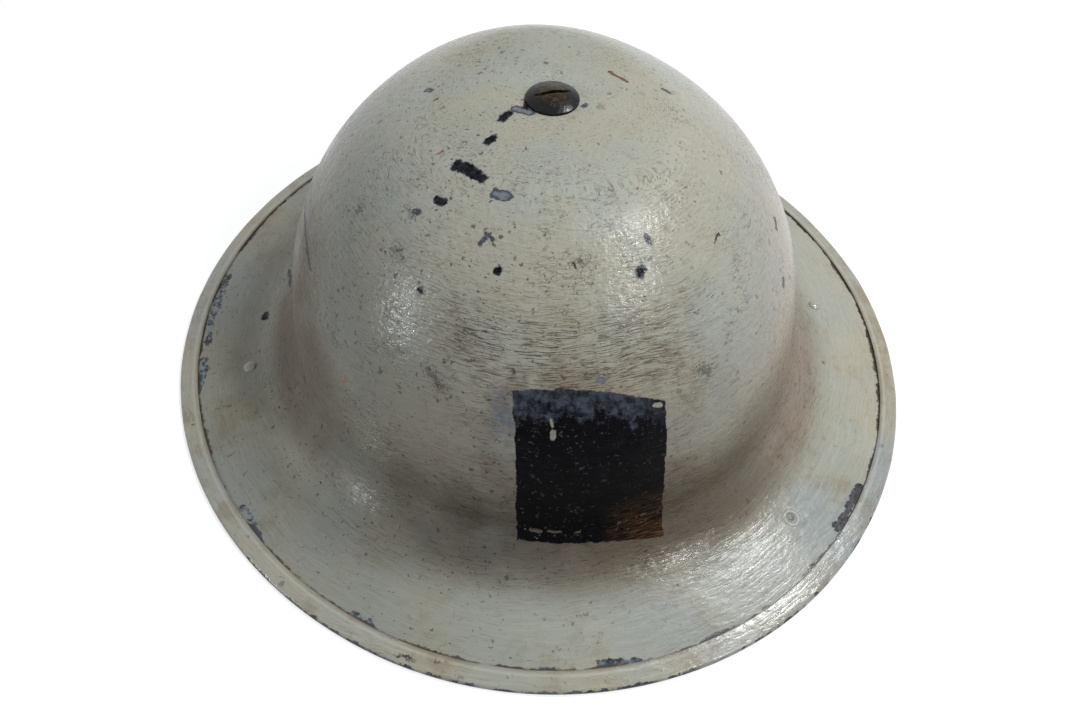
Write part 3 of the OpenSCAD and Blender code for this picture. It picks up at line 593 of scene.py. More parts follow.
SMUDGES = [
    ((-66.9, -19, 97.5), (-66.9, -19, 97.5), 3.0), ((-50.1, -33.1, 106.4), (-52, -31, 106.2), 2.4),
    ((-61.2, -36.9, 96.7), (-61.2, -36.9, 96.7), 2.2), ((-55.1, -44.1, 98.4), (-57, -40, 98.6), 2.6),
    ((-78.7, -47.2, 65.2), (-79.4, -44, 66), 2.6), ((-47.8, -77.7, 75.4), (-51, -73, 78), 3.0),
    ((-76.3, -59, 49.5), (-76.3, -59, 49.5), 2.2), ((-83.5, -32.2, 68.9), (-83.5, -34, 67), 2.0),
    ((74.7, -40.5, 79.1), (74.7, -44, 76.5), 1.8), ((84.7, -19.2, 73.7), (84.7, -16, 74), 1.6),
    ((33.8, -85.2, 77.5), (37, -84, 76), 3.0), ((56.3, -100.3, 10.4), (56.3, -100.3, 10.4), 1.6),
    ((-4.9, -62.8, 108.6), (0.6, -63.4, 108.4), 2.6), ((8.6, -53.2, 113.3), (8.6, -53.2, 113.3), 2.4),
    ((-11.6, -53.2, 112.9), (-11.6, -53.2, 112.9), 2.4), ((-39.6, -105.3, 12.8), (-37, -106, 12.6), 1.6)]
SCRATCHES = [
    ((-85.7, 18.1, 71.8), (-86.2, 8.2, 73.7), 0.75), ((-86.2, 8.2, 73.7), (-86.3, 0.7, 74.1), 0.8),
    ((-86.3, 0.7, 74.1), (-86.2, -6.7, 73.9), 0.8), ((-86.2, -6.7, 73.9), (-85.9, -13.1, 73.3), 0.8),
    ((-85.9, -13.1, 73.3), (-85.3, -18.7, 72.5), 0.75), ((-99.5, 44.9, 10.9), (-99.3, 32.5, 13.9), 0.6),
    ((-4.9, -60.2, 109.3), (-4.3, -64.8, 107.9), 0.3), ((-4.6, -66.5, 107.4), (0.2, -66.9, 107.3), 0.32),
    ((-14.6, -44.8, 114.3), (-14.2, -48.6, 113.3), 0.22), ((22.5, 14.5, 119.4), (27.5, 9.6, 119.4), 0.7),
    ((46, -50, 102), (43.6, -54, 101.4), 0.35), ((-13, -57.4, 110), (-10.6, -59.6, 109.6), 0.3)]
FLECKS = [
    ((-15, -95.9, 68.7), (-14.7, -96.5, 66.6), 1.0), ((-15.2, -95.2, 70.5), (-15.4, -94.2, 72.5), 0.45),
    ((17.7, -93.4, 72.9), (19.6, -93.2, 72.2), 0.9), ((19.8, -94, 68.8), (19.8, -94, 68.8), 0.6),
    ((-22.3, -103.2, 24.6), (-18.6, -104, 24.4), 0.65), ((-16, -104.6, 24.3), (-12.4, -105.3, 24.2), 0.6),
    ((3, -101.6, 44.2), (3.6, -101.6, 44.2), 0.6), ((6.2, -101.6, 44), (6.8, -101.6, 44), 0.5),
    ((-7, -105.9, 23.8), (-5.6, -106, 23.7), 0.4)]
SMEAR = [((-31, -87.2, 77.5), (-29, -92.5, 67), 2.8)]
PALE_CHIP = [((-0.2, -89.4, 83.6), (1.0, -89.3, 83.4), 1.1)]
RUST_MARK = [((22.8, 14.2, 119.4), (27.2, 9.8, 119.4), 0.6)]
RED_MARK = [((-77.7, -54.6, 57.5), (-77.9, -54.8, 54.5), 0.5)]

shell_paint, tree, place = new_finish("shell_paint", "painted_shell")
x, y, z = apart(tree, place)
outwards = add(tree, "ShaderNodeAttribute", attribute_name="reach").outputs["Fac"]
cracked = times(tree, step(tree, z, 0.060, 0.085), step(tree, y, -0.035, -0.06))
on_brim = step(tree, outwards, 0.099, 0.112)
off_brim = step(tree, outwards, 0.104, 0.094)
coat = put(tree, old_paint, Place=place, Cracks=maths(tree, "MULTIPLY_ADD", cracked, 0.9, 0.12),
           Dirt=maths(tree, "MULTIPLY_ADD", on_brim, -0.6, 1.0))
colour, rough, way = coat.outputs["Color"], coat.outputs["Roughness"], coat.outputs["Way"]
ragged = torn(tree, place, 0.0024, 240, 3.0, 0.6)
# The band above the painted block, where dirt fills the cracks
lines = brushed(tree, way, 15, 2300, 4.0, 0.7)
band = times(tree, close_to(tree, z, 0.089, 0.017, 0.004), close_to(tree, x, -0.010, 0.055, 0.020),
             step(tree, y, 0.0, -0.04), step(tree, lines, 0.51, 0.58))
colour = painted(tree, colour, band, 0.88, shade(62, 46, 33))
# Warm, rubbed paint on the wall that darkens towards its foot, partly a painted shade; dirt and a painted
# shade in the flare; and a painted shade on the darker left side
uneven = cloud(tree, place, 26, 4.0, 0.6)
# The wall's wash is a warm tint and a painted shade, deepest low on the wall
wall_warmth_and_shade = times(tree, step(tree, z, 0.090, 0.040), step(tree, outwards, 0.108, 0.098),
                   step(tree, uneven, 0.25, 0.65, 0.45, 1.0), step(tree, x, -0.075, -0.040, 0.15, 1.0))
colour = washed(tree, colour, wall_warmth_and_shade, (0.78, 0.70, 0.66))
# Dirt in the flare, and a painted shade where the wall turns into the brim
flare_dirt_and_shade = times(tree, step(tree, z, 0.052, 0.022), step(tree, outwards, 0.1150, 0.0930),
                    step(tree, uneven, 0.2, 0.6, 0.55, 1.0), step(tree, y, -0.045, -0.095, 0.45, 1.0),
                    step(tree, x, 0.045, 0.095, 1.0, 0.62), step(tree, x, -0.060, -0.095, 1.0, 0.62))
colour = washed(tree, colour, flare_dirt_and_shade, (0.39, 0.355, 0.32))
# A painted shade on the left side of the wall, away from the windows; it is rougher there too
left_painted_shade = times(tree, step(tree, x, -0.074, -0.090), step(tree, z, 0.104, 0.084),
                   step(tree, outwards, 0.104, 0.094), step(tree, uneven, 0.3, 0.6, 0.6, 1.0))
colour = washed(tree, colour, left_painted_shade, (0.54, 0.46, 0.42))
# A painted shadow of the bowl over the left brim
colour = washed(tree, colour, times(tree, on_brim, step(tree, x, 0.01, -0.09)), (0.76, 0.755, 0.745))
stale = times(tree, step(tree, cloud(tree, place, 38, 5.0, 0.7), 0.50, 0.66), on_brim)
colour = washed(tree, colour, times(tree, stale, 0.8), (0.80, 0.74, 0.64))
# A painted shade low on the left wall
left_wall_shade = times(tree, step(tree, x, -0.040, -0.075), step(tree, z, 0.030, 0.055))
colour = washed(tree, colour, times(tree, off_brim, left_wall_shade), (0.74, 0.74, 0.73))
# The right wall is a little warmer, the right brim paler with painted light from the windows, and bluer
# towards the front with a painted reflection
colour = washed(tree, colour, times(tree, off_brim, step(tree, x, 0.045, 0.08)), (0.98, 0.90, 0.89))
colour = washed(tree, colour, times(tree, on_brim, step(tree, x, 0.085, 0.125)), (1.09, 1.06, 1.04))
painted_cool_reflection = times(tree, on_brim, times(tree, step(tree, x, -0.02, 0.06), step(tree, y, -0.07, -0.11)))
colour = washed(tree, colour, painted_cool_reflection, (0.78, 0.84, 0.94))
# Soiled paint round the painted block
soiled = times(tree, close_to(tree, x, -0.004, 0.058, 0.026), close_to(tree, z, 0.056, 0.048, 0.030),
               step(tree, y, -0.04, -0.07))
patchy = cloud(tree, place, 46, 5.0, 0.7)
colour = washed(tree, colour, times(tree, soiled, step(tree, patchy, 0.40, 0.64, 0.0, 0.75)),
                (0.72, 0.60, 0.53))
strokes = times(tree, step(tree, brushed(tree, way, 34, 1500, 5.0, 0.8), 0.57, 0.63),
                step(tree, patchy, 0.44, 0.56))
colour = painted(tree, colour, times(tree, strokes, soiled), 0.66, shade(66, 50, 38))


def curved_edge(tree, x, middle, height, slope, bend):
    """How high an edge of the painted block lies, from its height, slope and bend at its middle."""
    aside = maths(tree, "SUBTRACT", x, middle)
    return maths(tree, "MULTIPLY_ADD", times(tree, aside, aside), bend,
                 maths(tree, "MULTIPLY_ADD", aside, slope, height))


# The painted block on the front, its upper edge rubbed back to blue-grey
BLOCK_LEFT, BLOCK_RIGHT, RIGHT_LEAN = -0.0268, 0.0247, -0.045
ragged_x, _, ragged_z = apart(tree, ragged)
top_edge = curved_edge(tree, x, middle=-0.0031, height=0.0810, slope=-0.135, bend=-7.41)
low_edge = curved_edge(tree, x, middle=-0.0024, height=0.0193, slope=-0.073, bend=-1.81)
right_edge = maths(tree, "MULTIPLY_ADD", ragged_z, RIGHT_LEAN, BLOCK_RIGHT)
above_top = maths(tree, "SUBTRACT", ragged_z, top_edge)
below_low = maths(tree, "SUBTRACT", low_edge, ragged_z)
past_right = maths(tree, "SUBTRACT", ragged_x, right_edge)
past_left = maths(tree, "SUBTRACT", BLOCK_LEFT, ragged_x)
outside = maths(tree, "MAXIMUM", maths(tree, "MAXIMUM", above_top, below_low),
                maths(tree, "MAXIMUM", past_right, past_left))
block = times(tree, step(tree, outside, -0.0003, 0.0002, 1.0, 0.0), step(tree, y, -0.06, -0.05, 1.0, 0.0))
scuff = cloud(tree, ragged, 210, 4.0, 0.7)
rubbed = times(tree, step(tree, maths(tree, "MULTIPLY_ADD", scuff, 0.034, above_top), 0.0070, 0.0130),
               step(tree, x, 0.022, 0.010, 0.25, 1.0),
               step(tree, cloud(tree, ragged, 330, 4.0, 0.7), 0.38, 0.60, 0.25, 1.0))
worn_off = times(tree, step(tree, cloud(tree, ragged, 620, 3.0, 0.6), 0.635, 0.67),
                 step(tree, z, 0.040, 0.024, 0.12, 1.0))
worn_off = maths(tree, "MAXIMUM", worn_off, step(tree, nearest(tree, ragged, FLECKS), 0.0002, -0.0001))
ink = tint(tree, step(tree, cloud(tree, place, 200, 2.0), 0.4, 0.7), shade(2, 2, 5), shade(7, 7, 12))
ink = painted(tree, ink, rubbed, 0.72, shade(70, 76, 88))
brown = times(tree, step(tree, x, 0.0, 0.012), step(tree, z, 0.040, 0.030), step(tree, lines, 0.46, 0.60))
ink = painted(tree, ink, brown, 0.8, shade(88, 62, 40))
inked = times(tree, block, maths(tree, "SUBTRACT", 1.0, worn_off))
# A smear of the blue-grey coat beside the block's upper left corner, and a pale chip at the right one
smear = times(tree, step(tree, nearest(tree, ragged, SMEAR), 0.003, -0.002),
              step(tree, scuff, 0.40, 0.60, 0.15, 0.9))
pale_chip = step(tree, nearest(tree, ragged, PALE_CHIP), 0.0003, -0.0003)
smear = maths(tree, "MAXIMUM", smear, times(tree, pale_chip, 0.85))
colour = tint(tree, smear, colour, shade(96, 104, 116))
colour = tint(tree, inked, colour, ink)
# Chips down to the blue-grey coat and to the black one under it
chipped = torn(tree, place, 0.0036, 430, 4.0, 0.7)
blue = nearest(tree, chipped, BLUE_CHIPS)
black = nearest(tree, chipped, BLACK_CHIPS)
mottle = cloud(tree, ragged, 500, 3.0, 0.65)
bare_blue = step(tree, maths(tree, "MINIMUM", blue, black), 0.0004, -0.0002)
bare_black = step(tree, maths(tree, "MULTIPLY_ADD", mottle, 0.0012, black), 0.0006, 0.0001)
near, chosen, _, large = spots(tree, astray(tree, place, place, 0.003, 500), 70.0)
random_chip = step(tree, maths(tree, "DIVIDE", near, maths(tree, "MULTIPLY_ADD", large, 0.8, 0.35)),
                   0.045, 0.085, 1.0, 0.0)
random_chip = times(tree, random_chip, step(tree, chosen, 0.62, 0.64))
within = maths(tree, "MULTIPLY_ADD", mottle, 0.0012, maths(tree, "MINIMUM", blue, black))
old_blue = tint(tree, step(tree, within, 0.0002, -0.0006), shade(56, 60, 68), shade(106, 112, 120))
old_black = tint(tree, step(tree, mottle, 0.4, 0.7), shade(6, 6, 9), shade(40, 43, 50))
colour = tint(tree, maths(tree, "MAXIMUM", bare_blue, times(tree, random_chip, 0.65)), colour, old_blue)
colour = tint(tree, bare_black, colour, old_black)
# Smudges of soot, each a soft core with grit round it, and fine pepper, most of it on the left
grit = cloud(tree, place, 760, 3.0, 0.7)
near_smudge = nearest(tree, torn(tree, place, 0.006, 300, 3.0, 0.6), SMUDGES)
smudged = times(tree, step(tree, near_smudge, 0.0018, -0.0018), step(tree, grit, 0.55, 0.60))
core = step(tree, maths(tree, "MULTIPLY_ADD", grit, 0.009, near_smudge), 0.0034, 0.0016)
smudged = maths(tree, "MAXIMUM", smudged, times(tree, core, 0.75))
colour = painted(tree, colour, smudged, 0.85, shade(48, 46, 46))
leftish = times(tree, step(tree, x, 0.03, -0.02, 0.25, 1.0), step(tree, outwards, 0.112, 0.102, 0.75, 1.0))
peppered = times(tree, step(tree, cloud(tree, ragged, 520, 2.0, 0.6), 0.66, 0.69), leftish)
colour = painted(tree, colour, peppered, 0.8, shade(58, 56, 56))
# Scratches, one with rust in it, and one mark of red paint
cut_share = step(tree, nearest(tree, ragged, SCRATCHES), 0.0003, -0.0001)
colour = painted(tree, colour, cut_share, 0.95, shade(30, 25, 22))
rust = step(tree, nearest(tree, ragged, RUST_MARK), 0.0008, -0.0004)
colour = painted(tree, colour, rust, 0.7, shade(112, 82, 44))
red = step(tree, nearest(tree, ragged, RED_MARK), 0.0006, -0.0003)
colour = painted(tree, colour, red, 0.8, shade(168, 84, 58))
# The strip's groove holds dirt and chips, and on the right a stretch of it is painted near black, the painted
# shadow of a gap as if the strip stood open there
lumpy = cloud(tree, place, 75, 4.0, 0.65)
open_gap_shadow = times(tree, step(tree, x, 0.08, 0.10), times(tree, step(tree, y, 0.03, 0.0),
                                                       step(tree, y, -0.100, -0.080)))
groove = maths(tree, "MULTIPLY_ADD", lumpy, 0.0064, maths(tree, "SUBTRACT", outwards, RIM - 0.0035))
groove = maths(tree, "MULTIPLY_ADD", mottle, 0.0018, groove)
groove = maths(tree, "MULTIPLY_ADD", open_gap_shadow, 0.0005, groove)
groove = times(tree, step(tree, groove, -0.0003, 0.0004), step(tree, lumpy, 0.30, 0.55, 0.5, 0.95))
in_groove = tint(tree, step(tree, lumpy, 0.58, 0.62), shade(62, 51, 38), old_blue)
flaky = cloud(tree, place, 280, 4.0, 0.75)
groove_chip = maths(tree, "ADD", nearest(tree, ragged, GROOVE_CHIPS), -0.0026)
groove_chip = step(tree, maths(tree, "MULTIPLY_ADD", flaky, 0.0048, groove_chip), 0.0002, -0.0002)
chip_dark = tint(tree, step(tree, mottle, 0.45, 0.6), shade(24, 24, 30), old_blue)
chip_pale = times(tree, step(tree, flaky, 0.42, 0.58), step(tree, x, 0.02, -0.02, 0.15, 1.0))
colour = tint(tree, groove_chip, colour, tint(tree, chip_pale, chip_dark, shade(126, 134, 138)))
# The open stretch gets its painted shadow here
colour = tint(tree, groove, colour, painted(tree, in_groove, open_gap_shadow, 0.85, shade(30, 28, 28)))
# The brim hole's raised ring of paint, painted lighter as a highlight, and the pit inside it, painted darker
# as a shade
low_down = step(tree, z, 0.012, 0.010)
ring_x, ring_y = maths(tree, "SUBTRACT", x, hole.x), maths(tree, "SUBTRACT", y, hole.y)
from_hole = maths(tree, "SQRT", maths(tree, "ADD", times(tree, ring_x, ring_x), times(tree, ring_y, ring_y)))
lit_raised_ring = times(tree, close_to(tree, from_hole, BALL, 0.0009, 0.0002), low_down)
colour = painted(tree, colour, lit_raised_ring, 0.5, shade(176, 175, 164))
shaded_pit = times(tree, step(tree, from_hole, 0.0013, 0.0007), low_down)
colour = painted(tree, colour, shaded_pit, 0.6, shade(96, 88, 76))
# Chips lie lower than the paint, the ring and the block higher, and the top has lost its gloss
deep = maths(tree, "MAXIMUM", maths(tree, "MAXIMUM", bare_blue, cut_share), random_chip)
height = times(tree, coat.outputs["Height"], maths(tree, "MULTIPLY_ADD", on_brim, -0.66, 1.0))
height = maths(tree, "MULTIPLY_ADD", deep, -1.2, height)
height = maths(tree, "MULTIPLY_ADD", lit_raised_ring, 2.2, height)
height = maths(tree, "MULTIPLY_ADD", inked, 0.45, height)
dull_top = times(tree, step(tree, z, 0.1115, 0.1175), 0.45)
rough = maths(tree, "ADD", dull_top, maths(tree, "MULTIPLY_ADD", left_painted_shade, 0.35, rough))
rough = maths(tree, "MINIMUM", maths(tree, "MULTIPLY_ADD", inked, 0.20, rough), 0.9)
metallic = times(tree, maths(tree, "MAXIMUM", inked, bare_black), 0.85)
skin = coated(tree, colour, rough, height, 0.00024, 0.6, metallic)
skin.inputs["Specular IOR Level"].default_value = 0.28
fit(shell, "shell", shell_paint)

# Inside, the black first coat shows, dusty, with streaks of the white that ran in under the rim.
inner_coat, tree, place = new_finish("inner_coat", "painted_shell")
outwards = add(tree, "ShaderNodeAttribute", attribute_name="reach").outputs["Fac"]
dust = step(tree, cloud(tree, place, 40, 4.0, 0.6), 0.35, 0.75)
colour = tint(tree, dust, shade(44, 46, 50), shade(78, 76, 70))
coat = put(tree, old_paint, Place=place)
lapped = maths(tree, "MULTIPLY_ADD", cloud(tree, place, 50, 4.0, 0.6), 0.022, outwards)
colour = tint(tree, step(tree, lapped, 0.112, 0.118), colour, coat.outputs["Color"])
coated(tree, colour, 0.55, coat.outputs["Height"], 0.0002)
shell.data.materials.append(inner_coat)
for face in shell.data.polygons:
    face.material_index = 1 if face.normal.z < -0.02 else 0

# Rim strip
# A strip of thin steel folded over the edge of the brim, its two leaves pressed against the sheet.
# Its ends meet at the rear. It is painted with the shell, and the paint has worn off its outer edge.
LEAF = 0.0007
STRIP = 0.006
BUTT = 0.0008                       # the gap between its ends
back_end = edge - slope_down(BRIM_SLOPE)*STRIP
leaf_out, leaf_in = slope_up(BRIM_SLOPE)*FOLD, slope_up(BRIM_SLOPE)*(FOLD - LEAF)
flat_slope = math.acos(-edge[1]/FOLD)
under = edge - leaf_out
flat_end = Vector((under[0] + under[1]/math.tan(BRIM_SLOPE), 0))
# The upper leaf's rolled edge: how far through its thickness, and how far it bulges inwards there
lip = [leaf_in.lerp(leaf_out, share) - slope_down(BRIM_SLOPE)*bulge for share, bulge in
       ((0.1, 0.0), (0.5, 0.0002), (0.85, 0.0001), (1.0, -0.0003))]
strip_line = ([back_end + p for p in lip] + run(back_end + leaf_out, edge + leaf_out, 5)
              + bow(edge, FOLD, BRIM_SLOPE, flat_slope, 10)
              + [flat_end, back_end - leaf_out, back_end - leaf_in]
              + bow(edge, FOLD - LEAF, BRIM_SLOPE + math.pi, BRIM_SLOPE, 8) + [back_end + leaf_in])
short = BUTT/2/RIM
half_end = math.pi/2 - JOIN - short
halves = [(0, 4, JOIN, half_end, 0, 30), (0, 4, math.pi/2 + short, half_end, 0, 30)]
strip = oval_spin("rim_strip_fold", strip_line, UNIT, closed=True, around=halves + AROUND[1:])
bpy.ops.object.mode_set(mode="EDIT")
bpy.ops.mesh.select_all(action="SELECT")
bpy.ops.mesh.fill_holes(sides=0)
bpy.ops.mesh.normals_make_consistent(inside=False)
bpy.ops.object.mode_set(mode="OBJECT")
for v in strip.data.vertices:
    wave = noise.noise(v.co*38)*0.00022 + noise.noise(v.co*110)*0.0001
    v.co += v.co.to_2d().normalized().to_3d()*wave*(1.0 if v.co.z > 0.0012 else 0.0)
smooth(strip, 40)
keep_reach(strip)

STRIP_CHIPS = [
    ((-68.4, -127.9, 4.1), (-62.9, -130.4, 4.3), 0.9), ((-55.7, -132.7, 4.6), (-52.9, -133.4, 4.6), 0.8),
    ((113, -82, 4), (115, -79, 4), 0.8), ((-136, -20, 4), (-136.2, -24, 4), 0.8)]
strip_paint, tree, place = new_finish("strip_paint", "painted_strip")
x, y, z = apart(tree, place)
outwards = add(tree, "ShaderNodeAttribute", attribute_name="reach").outputs["Fac"]
coat = put(tree, old_paint, Place=place, Cool=shade(148, 150, 140), Warm=shade(156, 149, 130), Dirt=0.8,
           Cracks=0.0)
colour = coat.outputs["Color"]
inner = times(tree, step(tree, outwards, RIM - STRIP + 0.0002, RIM - STRIP - 0.0014),
              step(tree, cloud(tree, place, 55, 3.0), 0.3, 0.6, 0.35, 0.95))
colour = tint(tree, inner, colour, shade(88, 74, 54))
stained = step(tree, cloud(tree, place, 60, 4.0, 0.65), 0.48, 0.68, 0.0, 0.55)
colour = tint(tree, stained, colour, shade(122, 108, 84))
# A painted highlight along the rolled lip of the upper leaf
lip_highlight = close_to(tree, outwards, RIM - STRIP + LEAF, 0.0007, 0.0002)
colour = painted(tree, colour, lip_highlight, 0.35, shade(184, 183, 172))
# A painted reflection: the strip's right front is washed bluer and silvery
silver_reflection = times(tree, step(tree, x, 0.02, 0.06), step(tree, y, -0.05, -0.08))
colour = washed(tree, colour, silver_reflection, (0.86, 0.94, 1.08))
strip_chip = nearest(tree, astray(tree, place, place, 0.0046, 420, 3.0, 0.7), STRIP_CHIPS)
colour = tint(tree, step(tree, strip_chip, 0.0004, -0.0002), colour, shade(44, 46, 52))
# Bare along the outer edge, and more so at the front, down to the black coat and the blue-grey one
front = maths(tree, "MULTIPLY_ADD", cloud(tree, place, 12, 1.0), 0.05, y)
front = step(tree, front, -0.03, -0.09, -0.0009, 0.0003)
worn = maths(tree, "MULTIPLY_ADD", cloud(tree, place, 230, 4.0, 0.65), 0.0040, outwards)
bare = step(tree, maths(tree, "ADD", front, worn), RIM + 0.0019, RIM + 0.0021)
old_coat = step(tree, cloud(tree, place, 240, 2.0), 0.48, 0.54)
under_coat = tint(tree, old_coat, shade(22, 23, 28), shade(70, 74, 86))
# Where that edge is bare, its blue-grey patches are painted pale silver, bare steel with a painted glint
under_coat = tint(tree, times(tree, silver_reflection, old_coat), under_coat, shade(168, 172, 178))
colour = tint(tree, bare, colour, under_coat)
height = maths(tree, "MULTIPLY_ADD", bare, -1.2, coat.outputs["Height"])
coated(tree, colour, coat.outputs["Roughness"], height, 0.00022)
fit(strip, "rim_strip", strip_paint)

# Crown screw
# One brass screw holds the liner. It goes down through the crown, and its domed head has a straight slot.
# The head was painted black, and hands have rubbed it back to the dark bronze of the metal.
HEAD, HEAD_HEIGHT, HEAD_EDGE, SHANK, CHAMFER = 0.009, 0.003, 0.0008, 0.003, 0.0004
SLOT_WIDTH, SLOT_DEPTH, SLOT_TURN = 0.0017, 0.0011, math.radians(4)
SCREW_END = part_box("crown_screw")[0].z


def turned(name, line, place=(0, 0, 0), axis=(0, 0, 1), steps=48):
    """A piece turned round its own axis. The line gives radius and height, from the top down."""
    piece = wire_of(name, [(r, 0, h) for r, h in line], [(i, i + 1) for i in range(len(line) - 1)])
    bpy.ops.object.mode_set(mode="EDIT")
    bpy.ops.mesh.select_mode(type="VERT")
    bpy.ops.mesh.select_all(action="SELECT")
    bpy.ops.mesh.spin(steps=steps, angle=2*math.pi, center=(0, 0, 0), axis=(0, 0, 1))
    bpy.ops.mesh.select_all(action="SELECT")
    bpy.ops.mesh.remove_doubles(threshold=0.00001)
    bpy.ops.mesh.normals_make_consistent(inside=False)
    bpy.ops.object.mode_set(mode="OBJECT")
    piece.rotation_euler = Vector(axis).to_track_quat("Z", "Y").to_euler()
    piece.location = place
    bpy.ops.object.transform_apply(location=True, rotation=True, scale=True)
    return piece


def dome(radius, height, rim, steps=10):
    """The line of a domed head that stands on level 0, with an upright rim and a rounded edge."""
    rise = height - rim
    ball = (radius*radius + rise*rise)/(2*rise)
    swing = math.asin(radius/ball)
    line = [(ball*math.sin(swing*i/steps), height - ball*(1 - math.cos(swing*i/steps))) for i in range(steps)]
    return line + [(radius - rim*0.12, rim*1.05), (radius, rim*0.75), (radius, 0)]


def soften(piece, width, segments=2, degrees=35):
    """Rounds a piece's sharp edges."""
    only(piece)
    soft = piece.modifiers.new("soft", "BEVEL")
    soft.width, soft.segments = width, segments
    soft.limit_method, soft.angle_limit = "ANGLE", math.radians(degrees)
    bpy.ops.object.modifier_apply(modifier="soft")


head_line = [(r, h + HEIGHT) for r, h in dome(HEAD, HEAD_HEIGHT, HEAD_EDGE, 14)]
shank_line = [(SHANK, HEIGHT), (SHANK, SCREW_END + CHAMFER), (SHANK - CHAMFER, SCREW_END), (0, SCREW_END)]
screw = turned("crown_screw_turned", head_line + shank_line, steps=72)
bpy.ops.mesh.primitive_cube_add(size=1, location=(0, 0, HEIGHT + HEAD_HEIGHT))
slot_cutter = bpy.context.object
slot_cutter.scale = (0.03, SLOT_WIDTH, SLOT_DEPTH*2)
slot_cutter.rotation_euler = (0, 0, SLOT_TURN)
bpy.ops.object.transform_apply(location=True, rotation=True, scale=True)
cut_away(screw, slot_cutter)
soften(screw, 0.0003, 3)
smooth(screw, 50)

screw_black, tree, place = new_finish("screw_black", "worn_brass")
x, y, z = apart(tree, place)
middle = vector(tree, "LENGTH", together(tree, x, y), out="Value")
middle = maths(tree, "MULTIPLY_ADD", cloud(tree, place, 420, 4.0, 0.65), 0.0055, middle)
below = step(tree, z, HEIGHT - 0.0002, HEIGHT - 0.0006)
rubbed = maths(tree, "MAXIMUM", step(tree, middle, 0.0088, 0.0062, 0.0, 0.85), below)
colour = tint(tree, step(tree, cloud(tree, place, 700, 3.0), 0.35, 0.7), shade(34, 28, 20), shade(84, 69, 46))
colour = tint(tree, rubbed, shade(9, 9, 11), colour)
dust = step(tree, cloud(tree, place, 900, 3.0, 0.7), 0.62, 0.74)
colour = painted(tree, colour, dust, 0.4, shade(120, 116, 104))
thread = add(tree, "ShaderNodeTexWave", {"Vector": place, "Scale": 160.0}, bands_direction="Z").outputs["Fac"]
height = maths(tree, "MULTIPLY_ADD", times(tree, thread, below), 2.5, cloud(tree, place, 800, 3.0))
rough = step(tree, cloud(tree, place, 500, 3.0), 0.3, 0.7, 0.14, 0.34)
skin = coated(tree, colour, rough, height, 0.0002, 0.6, times(tree, rubbed, 0.75))
skin.inputs["Specular IOR Level"].default_value = 0.2
fit(screw, "crown_screw", screw_black)

# Lug rivets
# A soft rivet through the brim on each side, with a low domed head above and a smaller one below.
# They hold the lugs of the chin strap, and they are painted over with the shell.
RIVET_HEAD, RIVET_DOME, RIVET_SHANK, RIVET_TAIL = 0.0026, 0.0012, 0.0014, 0.0009
LUG_SHEET, PLAY = 0.0015, 0.00005
GRIP = SHEET + LUG_SHEET + PLAY
rivet_line = (dome(RIVET_HEAD, RIVET_DOME, 0.0002, 8) + [(RIVET_SHANK, 0), (RIVET_SHANK, -GRIP)]
              + [(r, -GRIP - h) for r, h in reversed(dome(RIVET_HEAD, RIVET_TAIL, 0.0002, 6))])
rivet_paint, tree, place = new_finish("rivet_paint", "painted_shell")
coat = put(tree, old_paint, Place=place, Dirt=0.6, Cracks=0.0)
foot = step(tree, cloud(tree, place, 500, 3.0), 0.56, 0.7, 0.0, 0.7)
colour = tint(tree, foot, coat.outputs["Color"], shade(96, 84, 64))
coated(tree, colour, coat.outputs["Roughness"], cloud(tree, place, 700, 3.0), 0.0002)
for side, place, axis in zip(("left", "right"), rivet_at, rivet_up):
    rivet = turned("lug_rivet_" + side, rivet_line, place, axis, 32)
    smooth(rivet, 50)
    fit(rivet, "lug_rivets" if side == "left" else None, rivet_paint)

# Seat washer
# A thick washer of hard red-brown fibre between the crown and the liner, so the straps hang clear of the
# steel. It was punched from sheet, and it has darkened in patches with sweat and rust.
SEAT = 0.014


def washer(name, node, radius, ease, finish):
    """A flat washer on the screw with eased edges, as thick and as high as the node that it stands for."""
    low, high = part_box(node)[0].z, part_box(node)[1].z
    bore = SCREW_HOLE
    line = [(bore + ease, high), (radius - ease, high), (radius - ease*0.3, high - ease*0.3),
            (radius, high - ease), (radius, low + ease), (radius - ease*0.3, low + ease*0.3),
            (radius - ease, low), (bore + ease, low), (bore, low + ease), (bore, high - ease),
            (bore + ease, high)]
    piece = turned(name, line, steps=64)
    smooth(piece, 30)
    return fit(piece, node, finish)


fibre, tree, place = new_finish("hard_fibre", "fibre")
layers = cloud(tree, vector(tree, "MULTIPLY", place, (70, 70, 420)), 1.0, 4.0, 0.65)
threads = cloud(tree, vector(tree, "MULTIPLY", place, (1500, 1500, 260)), 1.0, 2.0, 0.6)
stain = step(tree, cloud(tree, place, 38, 4.0, 0.62), 0.40, 0.66)
colour = tint(tree, step(tree, layers, 0.30, 0.70), shade(74, 50, 36), shade(106, 76, 54))
colour = painted(tree, colour, stain, 0.65, shade(46, 36, 30))
colour = tint(tree, step(tree, threads, 0.62, 0.74, 0.0, 0.4), colour, shade(140, 112, 84))
dust = step(tree, cloud(tree, place, 260, 3.0, 0.7), 0.60, 0.74, 0.0, 0.5)
colour = tint(tree, dust, colour, shade(122, 114, 100))
coated(tree, colour, step(tree, layers, 0.3, 0.7, 0.48, 0.72), maths(tree, "ADD", layers, threads), 0.00015)
washer("seat_washer_punched", "seat_washer", SEAT, 0.0004, fibre)

# Liner straps
# Two straps of the same fibre cross under the screw, one from front to rear and one from side to side.
# Each is flat in the crown, bends, runs straight to the hoop and ends flat against its outside.


